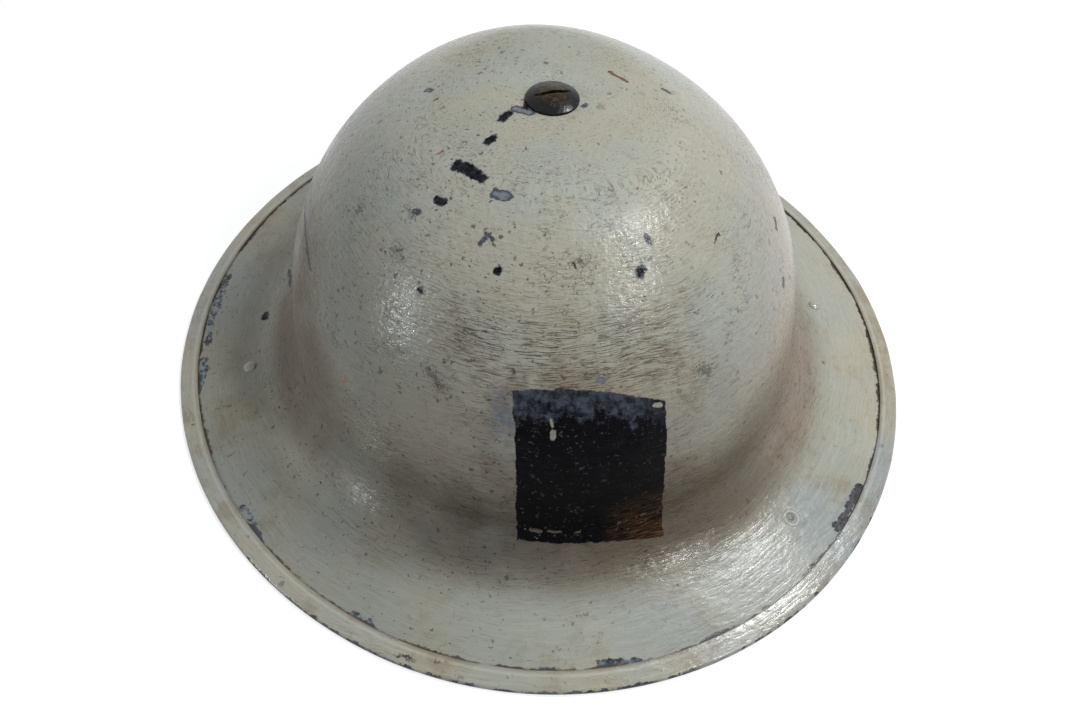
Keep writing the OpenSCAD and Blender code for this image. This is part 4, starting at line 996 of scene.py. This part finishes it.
def eased(name, node, width, segments=2):
    """A copy of a node's solid with its doubles merged and its sharp edges rounded off."""
    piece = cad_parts[node].copy()
    piece.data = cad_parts[node].data.copy()
    piece.parent = None
    piece.matrix_world = Matrix.Identity(4)
    piece.name = piece.data.name = name
    piece.hide_render = piece.hide_viewport = False
    bpy.context.scene.collection.objects.link(piece)
    only(piece)
    bpy.ops.object.mode_set(mode="EDIT")
    bpy.ops.mesh.select_mode(type="VERT")
    bpy.ops.mesh.select_all(action="SELECT")
    bpy.ops.mesh.remove_doubles(threshold=0.00001)
    bpy.ops.mesh.dissolve_limited(angle_limit=math.radians(1))
    bpy.ops.object.mode_set(mode="OBJECT")
    soften(piece, width, segments)
    smooth(piece, 38)
    return piece


for name in ("strap_long", "strap_cross"):
    fit(eased(name + "_fibre", name, 0.0003), name, fibre)

# Clamp washer and crown nut
# A steel washer spreads the load of a square brass nut, which clamps the crossed straps on the screw.
# The nut is sawn from bar and filed along its edges, and both have dulled under the crown pad.
CLAMP, NUT, NUT_HEIGHT, NUT_RIM = 0.009, 0.010, 0.0045, 0.0007

# Bare metal that has dulled, with stains in patches, fine scratches and small pits.
old_metal, takes, gives = group("old_metal", [
    ("Place", "Vector", (0, 0, 0)), ("Bright", "Color", shade(168, 140, 86)),
    ("Dull", "Color", shade(104, 84, 52)), ("Stain", "Color", shade(52, 44, 34)), ("Stained", "Float", 0.5)],
    [("Color", "Color"), ("Roughness", "Float"), ("Height", "Float")])
tree = old_metal
patch = cloud(tree, takes["Place"], 120, 4.0, 0.65)
speck = cloud(tree, takes["Place"], 900, 3.0, 0.7)
scratch = cloud(tree, vector(tree, "MULTIPLY", takes["Place"], (300, 2600, 1900)), 1.0, 2.0, 0.5)
colour = tint(tree, step(tree, patch, 0.34, 0.62), takes["Bright"], takes["Dull"])
colour = tint(tree, step(tree, scratch, 0.62, 0.70, 0.0, 0.45), colour, takes["Bright"])
stain = step(tree, maths(tree, "MULTIPLY_ADD", speck, 0.5, times(tree, patch, 0.5)), 0.50, 0.62)
stain = times(tree, stain, takes["Stained"])
tree.links.new(tint(tree, stain, colour, takes["Stain"]), gives["Color"])
rough = maths(tree, "MULTIPLY_ADD", stain, 0.35, step(tree, patch, 0.3, 0.7, 0.28, 0.48))
tree.links.new(rough, gives["Roughness"])
height = maths(tree, "MULTIPLY_ADD", stain, -0.6, maths(tree, "MULTIPLY_ADD", speck, 0.3, scratch))
tree.links.new(height, gives["Height"])


def metal_finish(name, slot, metal, **shades):
    """A dulled metal with its own bright, dull and stained shades."""
    made, tree, place = new_finish(name, slot)
    coat = put(tree, old_metal, Place=place, **shades).outputs
    coated(tree, coat["Color"], coat["Roughness"], coat["Height"], 0.0001, metal=metal)
    return made


steel = metal_finish("dull_steel", "plain_steel", 0.85, Bright=shade(138, 138, 134), Dull=shade(92, 91, 87),
                     Stain=shade(84, 56, 36), Stained=0.75)
brass = metal_finish("old_brass", "brass", 1.0, Bright=shade(186, 154, 92), Dull=shade(132, 104, 60),
                     Stained=0.6)

washer("clamp_washer_punched", "clamp_washer", CLAMP, 0.00015, steel)

nut_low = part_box("crown_nut")[0].z
bpy.ops.object.select_all(action="DESELECT")
bpy.ops.mesh.primitive_cube_add(size=1, location=(0, 0, nut_low + NUT_HEIGHT/2))
nut = bpy.context.object
nut.name = nut.data.name = "crown_nut_square"
nut.scale = (NUT, NUT, NUT_HEIGHT)
bpy.ops.object.transform_apply(location=True, rotation=True, scale=True)
pick(nut, "polygons", lambda p: p.normal.z < -0.9)
bpy.ops.mesh.inset(thickness=NUT_RIM)
bpy.ops.transform.translate(value=(0, 0, -0.00001))
bpy.ops.object.mode_set(mode="OBJECT")
drill(nut, (0, 0, nut_low), (0, 0, 1), SHANK + PLAY)
soften(nut, 0.0004, 3, 40)
smooth(nut, 35)
fit(nut, "crown_nut", brass)

# Crown pad
# A cross of thick grey felt under the straps keeps the nut off the head. Its arms follow the bend of the
# straps, and a round hole is cut for the nut. Felt has no seams, only soft rounded edges and loose fibres.
MOST_OUT, MOST_UP = 0.0013, 0.0005  # how far the stuffed felt may bulge, less where the straps lie on it
pad = eased("crown_pad_felt", "crown_pad", 0.0008, 1)
slim = pad.modifiers.new("slim", "DISPLACE")
slim.mid_level, slim.strength = 0, -0.0007
bpy.ops.object.modifier_apply(modifier="slim")
even = pad.modifiers.new("even", "REMESH")
even.mode, even.voxel_size = "VOXEL", 0.0022
bpy.ops.object.modifier_apply(modifier="even")
start = [(v.co.copy(), v.normal.copy()) for v in pad.data.vertices]
stuffed = pad.modifiers.new("stuffed", "CLOTH")
stuffed.settings.use_pressure = True
stuffed.settings.uniform_pressure_force = 4
stuffed.settings.effector_weights.gravity = 0
stuffed.settings.tension_stiffness = stuffed.settings.compression_stiffness = 25
for number in range(1, 21):
    bpy.context.scene.frame_set(number)
bpy.ops.object.modifier_apply(modifier="stuffed")
bpy.context.scene.frame_set(1)
for v, (place, normal) in zip(pad.data.vertices, start):
    most = MOST_UP if normal.z > 0.4 else MOST_OUT
    moved = v.co - place
    v.co = place + (moved if moved.length < most else moved.normalized()*most)


def finer(piece):
    """Rounds a soft piece by one more division of its faces."""
    full = piece.modifiers.new("full", "SUBSURF")
    full.levels = full.render_levels = 1
    bpy.ops.object.modifier_apply(modifier="full")


finer(pad)
for v in pad.data.vertices:
    v.co += v.normal*noise.noise(v.co*90)*0.00025
smooth(pad, 80)
felt, tree, place = new_finish("grey_felt", "felt")
tufts = cloud(tree, place, 260, 4.0, 0.7)
hairs = astray(tree, vector(tree, "MULTIPLY", place, (900, 900, 1700)), place, 3.0, 300)
hairs = cloud(tree, hairs, 1.0, 3.0, 0.6)
colour = tint(tree, step(tree, tufts, 0.34, 0.66), shade(58, 56, 54), shade(86, 84, 80))
colour = tint(tree, step(tree, hairs, 0.58, 0.68, 0.0, 0.5), colour, shade(126, 122, 114))
colour = tint(tree, step(tree, cloud(tree, place, 45, 3.0), 0.5, 0.7, 0.0, 0.6), colour, shade(64, 54, 44))
skin = coated(tree, colour, 0.95, maths(tree, "ADD", tufts, hairs), 0.0005, 0.7)
skin.inputs["Sheen Weight"].default_value = 0.25
fit(pad, "crown_pad", felt)

# Hoop
# An oval hoop of fibre strip carries the headband inside the bowl. The four strap ends are riveted to its
# outside, and the headband is glued to its inside.
HOOP_SHEET, HOOP_TOP = 0.0012, 0.052
fit(eased("hoop_fibre", "hoop", 0.0003), "hoop", fibre)

# Headband
# Black-brown oilcloth over thin wadding, glued inside the hoop and turned up round its lower edge, where
# a row of waxed thread holds the hem. It has creased where the forehead and the temples pressed on it.
HEAD_UNIT = 0.008
HEAD_HALF_LENGTH, HEAD_HALF_WIDTH = 0.0925, 0.0765
BAND, HEM, GLUE = 0.0024, 0.0014, 0.0003
BAND_IN = HEAD_HALF_LENGTH - 4*HEAD_UNIT
band_low, band_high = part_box("headband")[0].z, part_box("headband")[1].z
band_out = BAND_IN + BAND
hoop_out = band_out + GLUE + HOOP_SHEET
hem_low, hem_high = band_low + BAND, band_low + BAND + GLUE + 0.004
hem_in, hem_out = hoop_out + GLUE, hoop_out + GLUE + HEM
# Its section, from the rolled upper edge down behind the hoop, round the hem and up the inner face
top_edge = [(BAND_IN + 0.0005, band_high - 0.0004), (BAND_IN + 0.0012, band_high),
            (band_out - 0.0004, band_high - 0.0004), (band_out, band_high - 0.0014)]
hem_line = [(band_out, hem_low), (hem_in, hem_low), (hem_in, hem_low + 0.0014), (hem_in, hem_high - 0.0002),
            (hem_in + 0.0007, hem_high), (hem_out, hem_high - 0.0006), (hem_out, hem_low + 0.001),
            (hem_out - 0.0002, band_low + 0.001), (hem_out - 0.0012, band_low + 0.0001), (band_out, band_low),
            (BAND_IN + 0.0012, band_low + 0.0002), (BAND_IN + 0.0003, band_low + 0.0009)]
inner_height = band_high - band_low - 0.0032
inner_face = [(BAND_IN - 0.0005*math.sin(math.pi*i/9), band_low + 0.0018 + inner_height*i/9)
              for i in range(10)]
behind_hoop = run(Vector(top_edge[-1]), Vector((band_out, hem_low + 0.0004)), 6)
band_line = [Vector(p) for p in top_edge] + behind_hoop + [Vector(p) for p in hem_line + inner_face]
headband = oval_spin("headband_oilcloth", band_line, HEAD_UNIT, closed=True,
                     around=[(*arc, 3*steps) for *arc, steps in AROUND])
outer_faces = [p for p in headband.data.polygons if reach_of(*p.center[:2], HEAD_UNIT) > hem_out - 0.0001]
if sum(p.normal.dot(p.center - Vector((0, 0, p.center.z))) for p in outer_faces) < 0:
    headband.data.flip_normals()
for v in headband.data.vertices:
    out = reach_of(v.co.x, v.co.y, HEAD_UNIT)
    free = min(1, max(0, (BAND_IN + 0.0008 - out)/0.0008))*min(1, max(0, (v.co.z - band_low)/0.006))
    fold = noise.noise(Vector((v.co.x*75, v.co.y*75, v.co.z*22)))
    crease = 1 - min(1, abs(noise.noise(Vector((v.co.x*150, v.co.y*150, v.co.z*45 + 7)))*7))
    v.co -= v.co.to_2d().normalized().to_3d()*free*(0.0009*max(0, fold + 0.25) - 0.0005*crease)
    if v.co.z > band_high - 0.002:
        v.co.z += noise.noise(v.co*60)*0.0006 - 0.0003
finer(headband)
smooth(headband, 60)
oilcloth, tree, place = new_finish("black_oilcloth", "oilcloth")
crackle = cells(tree, astray(tree, place, place, 0.004, 300), 320, "DISTANCE_TO_EDGE")
crackle = step(tree, crackle, 0.02, 0.10, 1.0, 0.0)
rubbed = step(tree, cloud(tree, place, 42, 4.0, 0.6), 0.46, 0.66)
colour = step(tree, cloud(tree, place, 110, 3.0), 0.35, 0.65)
colour = tint(tree, colour, shade(30, 27, 25), shade(46, 40, 35))
colour = painted(tree, colour, crackle, maths(tree, "MULTIPLY_ADD", rubbed, 0.6, 0.2), shade(98, 78, 56))
colour = painted(tree, colour, rubbed, 0.35, shade(84, 70, 56))
cloth_grain = maths(tree, "MULTIPLY_ADD", crackle, -1.0, cloud(tree, place, 1300, 2.0, 0.6))
coated(tree, colour, maths(tree, "MULTIPLY_ADD", rubbed, 0.25, 0.36), cloth_grain, 0.00025, 0.6)
fit(headband, "headband", oilcloth)


def round_the_oval(reach, unit, spacing, height):
    """Places at even steps round an oval, each with the way along it and the way out."""
    places = []
    for shift_x, shift_y, start, angle, extra, _ in AROUND:
        radius = reach + extra*unit
        count = max(2, round(radius*angle/spacing))
        for i in range(count):
            turn = start + angle*(i + 0.5)/count
            out = Vector((math.cos(turn), math.sin(turn), 0))
            at = Vector((shift_x*unit, shift_y*unit, height)) + out*radius
            places.append((at, Vector((-out.y, out.x, 0)), out))
    return places


def spread(name, one, places):
    """Copies one piece to each place, given as a matrix, and joins the copies."""
    copies = []
    for place in places:
        copy = one.copy()
        copy.data = one.data.copy()
        copy.data.transform(place)
        bpy.context.scene.collection.objects.link(copy)
        copies.append(copy)
    bpy.data.objects.remove(one)
    return join(name, copies)


def stitch(name, places, length, thickness):
    """Stitches of thread, made once and copied to each place, sunk a little into the cloth."""
    bpy.ops.object.select_all(action="DESELECT")
    bpy.ops.mesh.primitive_uv_sphere_add(segments=8, ring_count=5, radius=0.5)
    one = bpy.context.object
    one.scale = (length, thickness, thickness)
    bpy.ops.object.transform_apply(location=True, rotation=True, scale=True)
    row = spread(name, one, [
        Matrix.Translation(at) @ Matrix((along, out.cross(along), out)).transposed().to_4x4()
        for at, along, out in places])
    bpy.ops.object.mode_set(mode="EDIT")
    bpy.ops.mesh.select_all(action="SELECT")
    bpy.ops.mesh.normals_make_consistent(inside=False)
    bpy.ops.object.mode_set(mode="OBJECT")
    smooth(row, 80)
    return row


thread, tree, place = new_finish("waxed_thread", "webbing")
twist = vector(tree, "MULTIPLY", place, (1.0, 1.0, 1.6))
ply = add(tree, "ShaderNodeTexWave", {"Vector": twist, "Scale": 520.0}, bands_direction="DIAGONAL")
ply = ply.outputs["Fac"]
colour = tint(tree, ply, shade(104, 92, 70), shade(160, 146, 116))
colour = tint(tree, step(tree, cloud(tree, place, 160, 3.0), 0.45, 0.65, 0.0, 0.6), colour, shade(78, 66, 48))
coated(tree, colour, 0.75, ply, 0.00015)
STITCH_SPACING, SEAM_BELOW = 0.005, 0.0016
seam = round_the_oval(hem_out + 0.00008, HEAD_UNIT, STITCH_SPACING, hem_high - SEAM_BELOW)
fit(stitch("headband_stitches", seam, length=0.0036, thickness=0.0007), None, thread)

# Liner rivets
# Eight small brass rivets hold the strap ends to the hoop, two to each end. Four larger ones hold the
# rubber buffers there, their heads sunk in the rubber. All are closed flush inside the hoop.
STRAP, RIVETS_APART = 0.0012, 0.012
BUFFER_LOW, BUFFER_HEIGHT, WEB = 0.0345, 0.012, 0.0014
LINER = BAND + GLUE + HOOP_SHEET    # from the head to the hoop's outside


def copies_along(name, line, places, steps=32):
    """One turned piece copied to each place, with its axis that way."""
    joined = spread(name, turned(name, line, steps=steps),
                    [Matrix.Translation(at) @ Vector(axis).to_track_quat("Z", "Y").to_matrix().to_4x4()
                     for at, axis in places])
    smooth(joined, 45)
    return joined


def riveted(radius, height, shank, grip):
    return dome(radius, height, 0.0002, 8) + [(shank, 0), (shank, -grip + 0.0002), (shank - 0.0002, -grip),
                                              (0, -grip)]


rivet_height = (BUFFER_LOW + BUFFER_HEIGHT + HOOP_TOP)/2
ends = [(Vector((s, 0, 0)), HEAD_HALF_WIDTH + LINER + STRAP) for s in (-1, 1)]
ends += [(Vector((0, s, 0)), HEAD_HALF_LENGTH + LINER + STRAP) for s in (-1, 1)]
strap_places = [(way*far + Vector((way.y, way.x, 0))*offset + Vector((0, 0, rivet_height)), way)
                for way, far in ends for offset in (-RIVETS_APART/2, RIVETS_APART/2)]
buffer_places = [(way*(far + WEB) + Vector((0, 0, BUFFER_LOW + BUFFER_HEIGHT/2)), way) for way, far in ends]
small_rivet = riveted(radius=0.0026, height=0.0008, shank=0.0013, grip=STRAP + HOOP_SHEET - PLAY)
large_rivet = riveted(radius=0.0037, height=0.001, shank=0.0015, grip=WEB + STRAP + HOOP_SHEET - PLAY)
fit(copies_along("strap_rivets_closed", small_rivet, strap_places), "strap_rivets", brass)
fit(copies_along("buffer_rivets_closed", large_rivet, buffer_places), "buffer_rivets", brass)

# Buffers
# Four blocks of grey-black rubber on the strap ends stand off the bowl and take up a blow. Each was
# moulded to the curve of the wall, with a pocket for its rivet, and has a dry bloom on it.
rubber, tree, place = new_finish("old_rubber", "rubber")
bloom = step(tree, cloud(tree, place, 130, 4.0, 0.66), 0.44, 0.64)
pits = cloud(tree, place, 850, 3.0, 0.6)
colour = tint(tree, times(tree, bloom, 0.7), shade(50, 47, 44), shade(92, 87, 80))
colour = tint(tree, step(tree, pits, 0.60, 0.72, 0.0, 0.5), colour, shade(30, 28, 26))
fissure = cells(tree, vector(tree, "MULTIPLY", place, (260, 260, 700)), 1.0, "DISTANCE_TO_EDGE")
fissure = times(tree, step(tree, fissure, 0.01, 0.05, 1.0, 0.0),
                step(tree, cloud(tree, place, 90, 2.0), 0.52, 0.6))
colour = painted(tree, colour, fissure, 0.8, shade(22, 20, 19))
height = maths(tree, "MULTIPLY_ADD", fissure, -1.5, pits)
coated(tree, colour, step(tree, bloom, 0.0, 1.0, 0.55, 0.85), height, 0.0002)
for name in ("buffer_front", "buffer_rear", "buffer_left", "buffer_right"):
    fit(eased(name + "_rubber", name, 0.0007, 3), name, rubber)

# Lugs, pins and links
# Each lug is a strip of steel riveted under the brim and bent up into an ear inside the wall. A pin is
# closed in the ear, and a stamped link swings on it. The link's far bar carries the chin strap.
for side in ("left", "right"):
    fit(eased("lug_" + side + "_bent", "lug_" + side, 0.0003), "lug_" + side, steel)
    fit(eased("lug_pin_" + side + "_closed", "lug_pin_" + side, 0.00015), "lug_pin_" + side, steel)
    fit(eased("link_" + side + "_stamped", "link_" + side, 0.00035, 3), "link_" + side, steel, "chin_strap")

# Chin strap
# One length of woven cotton webbing. Each end passes through a link and is sewn back on itself, the right
# one with a long tail. Here it is swung up, and lies round the front of the bowl's mouth.
WEBBING, WEBBING_WIDTH, PIVOT = 0.0012, 0.019, 0.013
END_RADIUS = 0.082
SIDE_RADIUS = END_RADIUS + 5*UNIT
LINK_REACH, LINK_BAR, LINK_SHEET, BAR_PLAY = 0.018, 0.003, 0.0015, 0.0002
PIVOT_FORWARD = 0.0035
BAR_FORWARD = LINK_REACH + PIVOT_FORWARD
LOOP = math.hypot(LINK_BAR/2, LINK_SHEET/2) + BAR_PLAY + WEBBING/2
RIGHT_TAIL, LEFT_TAIL = math.radians(29.2), math.radians(13.2)
bar_turn = math.asin(BAR_FORWARD/SIDE_RADIUS)


def beside_the_arc(turn, offset, side):
    """A point on the side arc, its turn forward of the middle, its offset out from the strap's line."""
    radius = SIDE_RADIUS + offset
    return Vector((side*(-3*UNIT + radius*math.cos(turn)), -radius*math.sin(turn), PIVOT))


def half_way(side, tail):
    """The strap's line from the front to one link, round its bar and back along its tail."""
    ease = 0.006/SIDE_RADIUS
    away = math.pi/2 - JOIN
    points = [Vector((side*END_RADIUS*math.sin(away*i/44), -4*UNIT - END_RADIUS*math.cos(away*i/44), PIVOT))
              for i in range(45)]
    points += [beside_the_arc(JOIN + (bar_turn + ease - JOIN)*i/50, 0, side) for i in range(1, 51)]
    bend = [i/12 for i in range(1, 13)]
    points += [beside_the_arc(bar_turn + ease*(1 - t), LOOP*t*t*(3 - 2*t), side) for t in bend]
    bar = beside_the_arc(bar_turn, 0, side)
    out = (beside_the_arc(bar_turn, 1, side) - bar).normalized()
    behind = Vector((-out.y*side, out.x*side, 0))
    points += [bar + (out*math.cos(math.pi*i/14) + behind*math.sin(math.pi*i/14))*LOOP for i in range(1, 15)]
    points += [beside_the_arc(bar_turn + ease*t, -LOOP + (LOOP - WEBBING)*t*t*(3 - 2*t), side) for t in bend]
    return points + [beside_the_arc(bar_turn + ease + tail*i/40, -WEBBING, side) for i in range(1, 41)]


right_half, left_half = half_way(1, RIGHT_TAIL), half_way(-1, LEFT_TAIL)
line = list(reversed(left_half)) + right_half[1:]
strap_path = bpy.data.curves.new("strap_path", "CURVE")
strap_path.dimensions, strap_path.twist_mode = "3D", "Z_UP"
spline = strap_path.splines.new("POLY")
spline.points.add(len(line) - 1)
for point, place in zip(spline.points, line):
    point.co = (*place, 1)
path = bpy.data.objects.new("strap_path", strap_path)
bpy.context.scene.collection.objects.link(path)
length = sum((b - a).length for a, b in zip(line, line[1:]))
bpy.ops.object.select_all(action="DESELECT")
bpy.ops.mesh.primitive_grid_add(x_subdivisions=760, y_subdivisions=8, size=1, calc_uvs=True)
webbing = bpy.context.object
webbing.name = webbing.data.name = "chin_webbing_woven"
webbing.data.transform(Matrix.Translation((length/2, 0, 0)) @ Matrix.Rotation(math.pi/2, 4, "X")
                       @ Matrix.Diagonal((length, WEBBING_WIDTH - 0.0002, 1, 1)))
thick = webbing.modifiers.new("thick", "SOLIDIFY")
thick.thickness, thick.offset = WEBBING, 0
bpy.ops.object.modifier_apply(modifier="thick")
soften(webbing, 0.0003, 2, 30)
follow = webbing.modifiers.new("follow", "CURVE")
follow.object = path
bpy.ops.object.modifier_apply(modifier="follow")
bpy.data.objects.remove(path)
smooth(webbing, 50)

WARP_ENDS, WEFT_STEP = 26, 0.0010
webbing_finish, tree, place = new_finish("khaki_webbing", "webbing")
laid = add(tree, "ShaderNodeUVMap", uv_map=webbing.data.uv_layers[0].name).outputs[0]
along, across, _ = apart(tree, laid)
along, across = times(tree, along, length/WEFT_STEP), times(tree, across, WARP_ENDS)
pair = [maths(tree, "FLOOR", across), maths(tree, "FLOOR", along)]
over = maths(tree, "MODULO", maths(tree, "ADD", *pair), 2.0)
rope = [maths(tree, "SINE", times(tree, maths(tree, "FRACT", v), math.pi)) for v in (across, along)]
warp = times(tree, rope[0], maths(tree, "MULTIPLY_ADD", rope[1], 0.5, 0.5))
weft = times(tree, rope[1], maths(tree, "MULTIPLY_ADD", rope[0], 0.4, 0.3))
weave = add(tree, "ShaderNodeMix", {0: over, 2: weft, 3: warp}, data_type="FLOAT").outputs[0]
yarn = add(tree, "ShaderNodeTexWhiteNoise", {"Vector": together(tree, pair[0])}, noise_dimensions="3D")
colour = tint(tree, yarn.outputs["Value"], shade(128, 114, 82), shade(146, 132, 98))
# The hollows between the yarns are painted darker, a painted shade
colour = tint(tree, step(tree, weave, 0.1, 0.6, 0.75, 0.0), colour, shade(74, 64, 44))
soiled = step(tree, cloud(tree, place, 48, 4.0, 0.62), 0.42, 0.66)
colour = painted(tree, colour, soiled, 0.5, shade(84, 72, 50))
fuzz = cloud(tree, place, 2200, 2.0, 0.6)
colour = tint(tree, step(tree, fuzz, 0.6, 0.72, 0.0, 0.3), colour, shade(176, 164, 132))
skin = coated(tree, colour, 0.88, maths(tree, "MULTIPLY_ADD", fuzz, 0.25, weave), 0.00035, 0.8)
skin.inputs["Sheen Weight"].default_value = 0.15
fit(webbing, "chin_webbing", webbing_finish, "chin_strap")

# Four rows of stitches across each doubled end, seen from both faces
STITCH_ROWS, STITCHES_APART = (0.0085, 0.0115, 0.0165, 0.0195), 0.0024
sewn = []
for side in (-1, 1):
    for offset, facing in ((WEBBING/2, 1), (-WEBBING*1.5, -1)):
        for ahead in STITCH_ROWS:
            turn = bar_turn + ahead/SIDE_RADIUS
            at = beside_the_arc(turn, offset + facing*0.00004, side)
            out = (beside_the_arc(turn, 1, side) - beside_the_arc(turn, 0, side)).normalized()*facing
            for level in range(-3, 4):
                sewn.append((at + Vector((0, 0, level*STITCHES_APART)), Vector((0, 0, 1)), out))
fit(stitch("chin_strap_stitches", sewn, length=0.0018, thickness=0.0006), None, thread, "chin_strap")
fit(eased("webbing_tip_folded", "webbing_tip", 0.00025), "webbing_tip", brass, "chin_strap")

# Slide buckle
# A cast brass slide with two rails, two outer bars and a middle one that the webbing passes behind. It
# shortens the strap, and stays where it is put because the webbing binds on the bars.
fit(eased("slide_buckle_cast", "slide_buckle", 0.0003, 3), "slide_buckle", brass, "buckle")
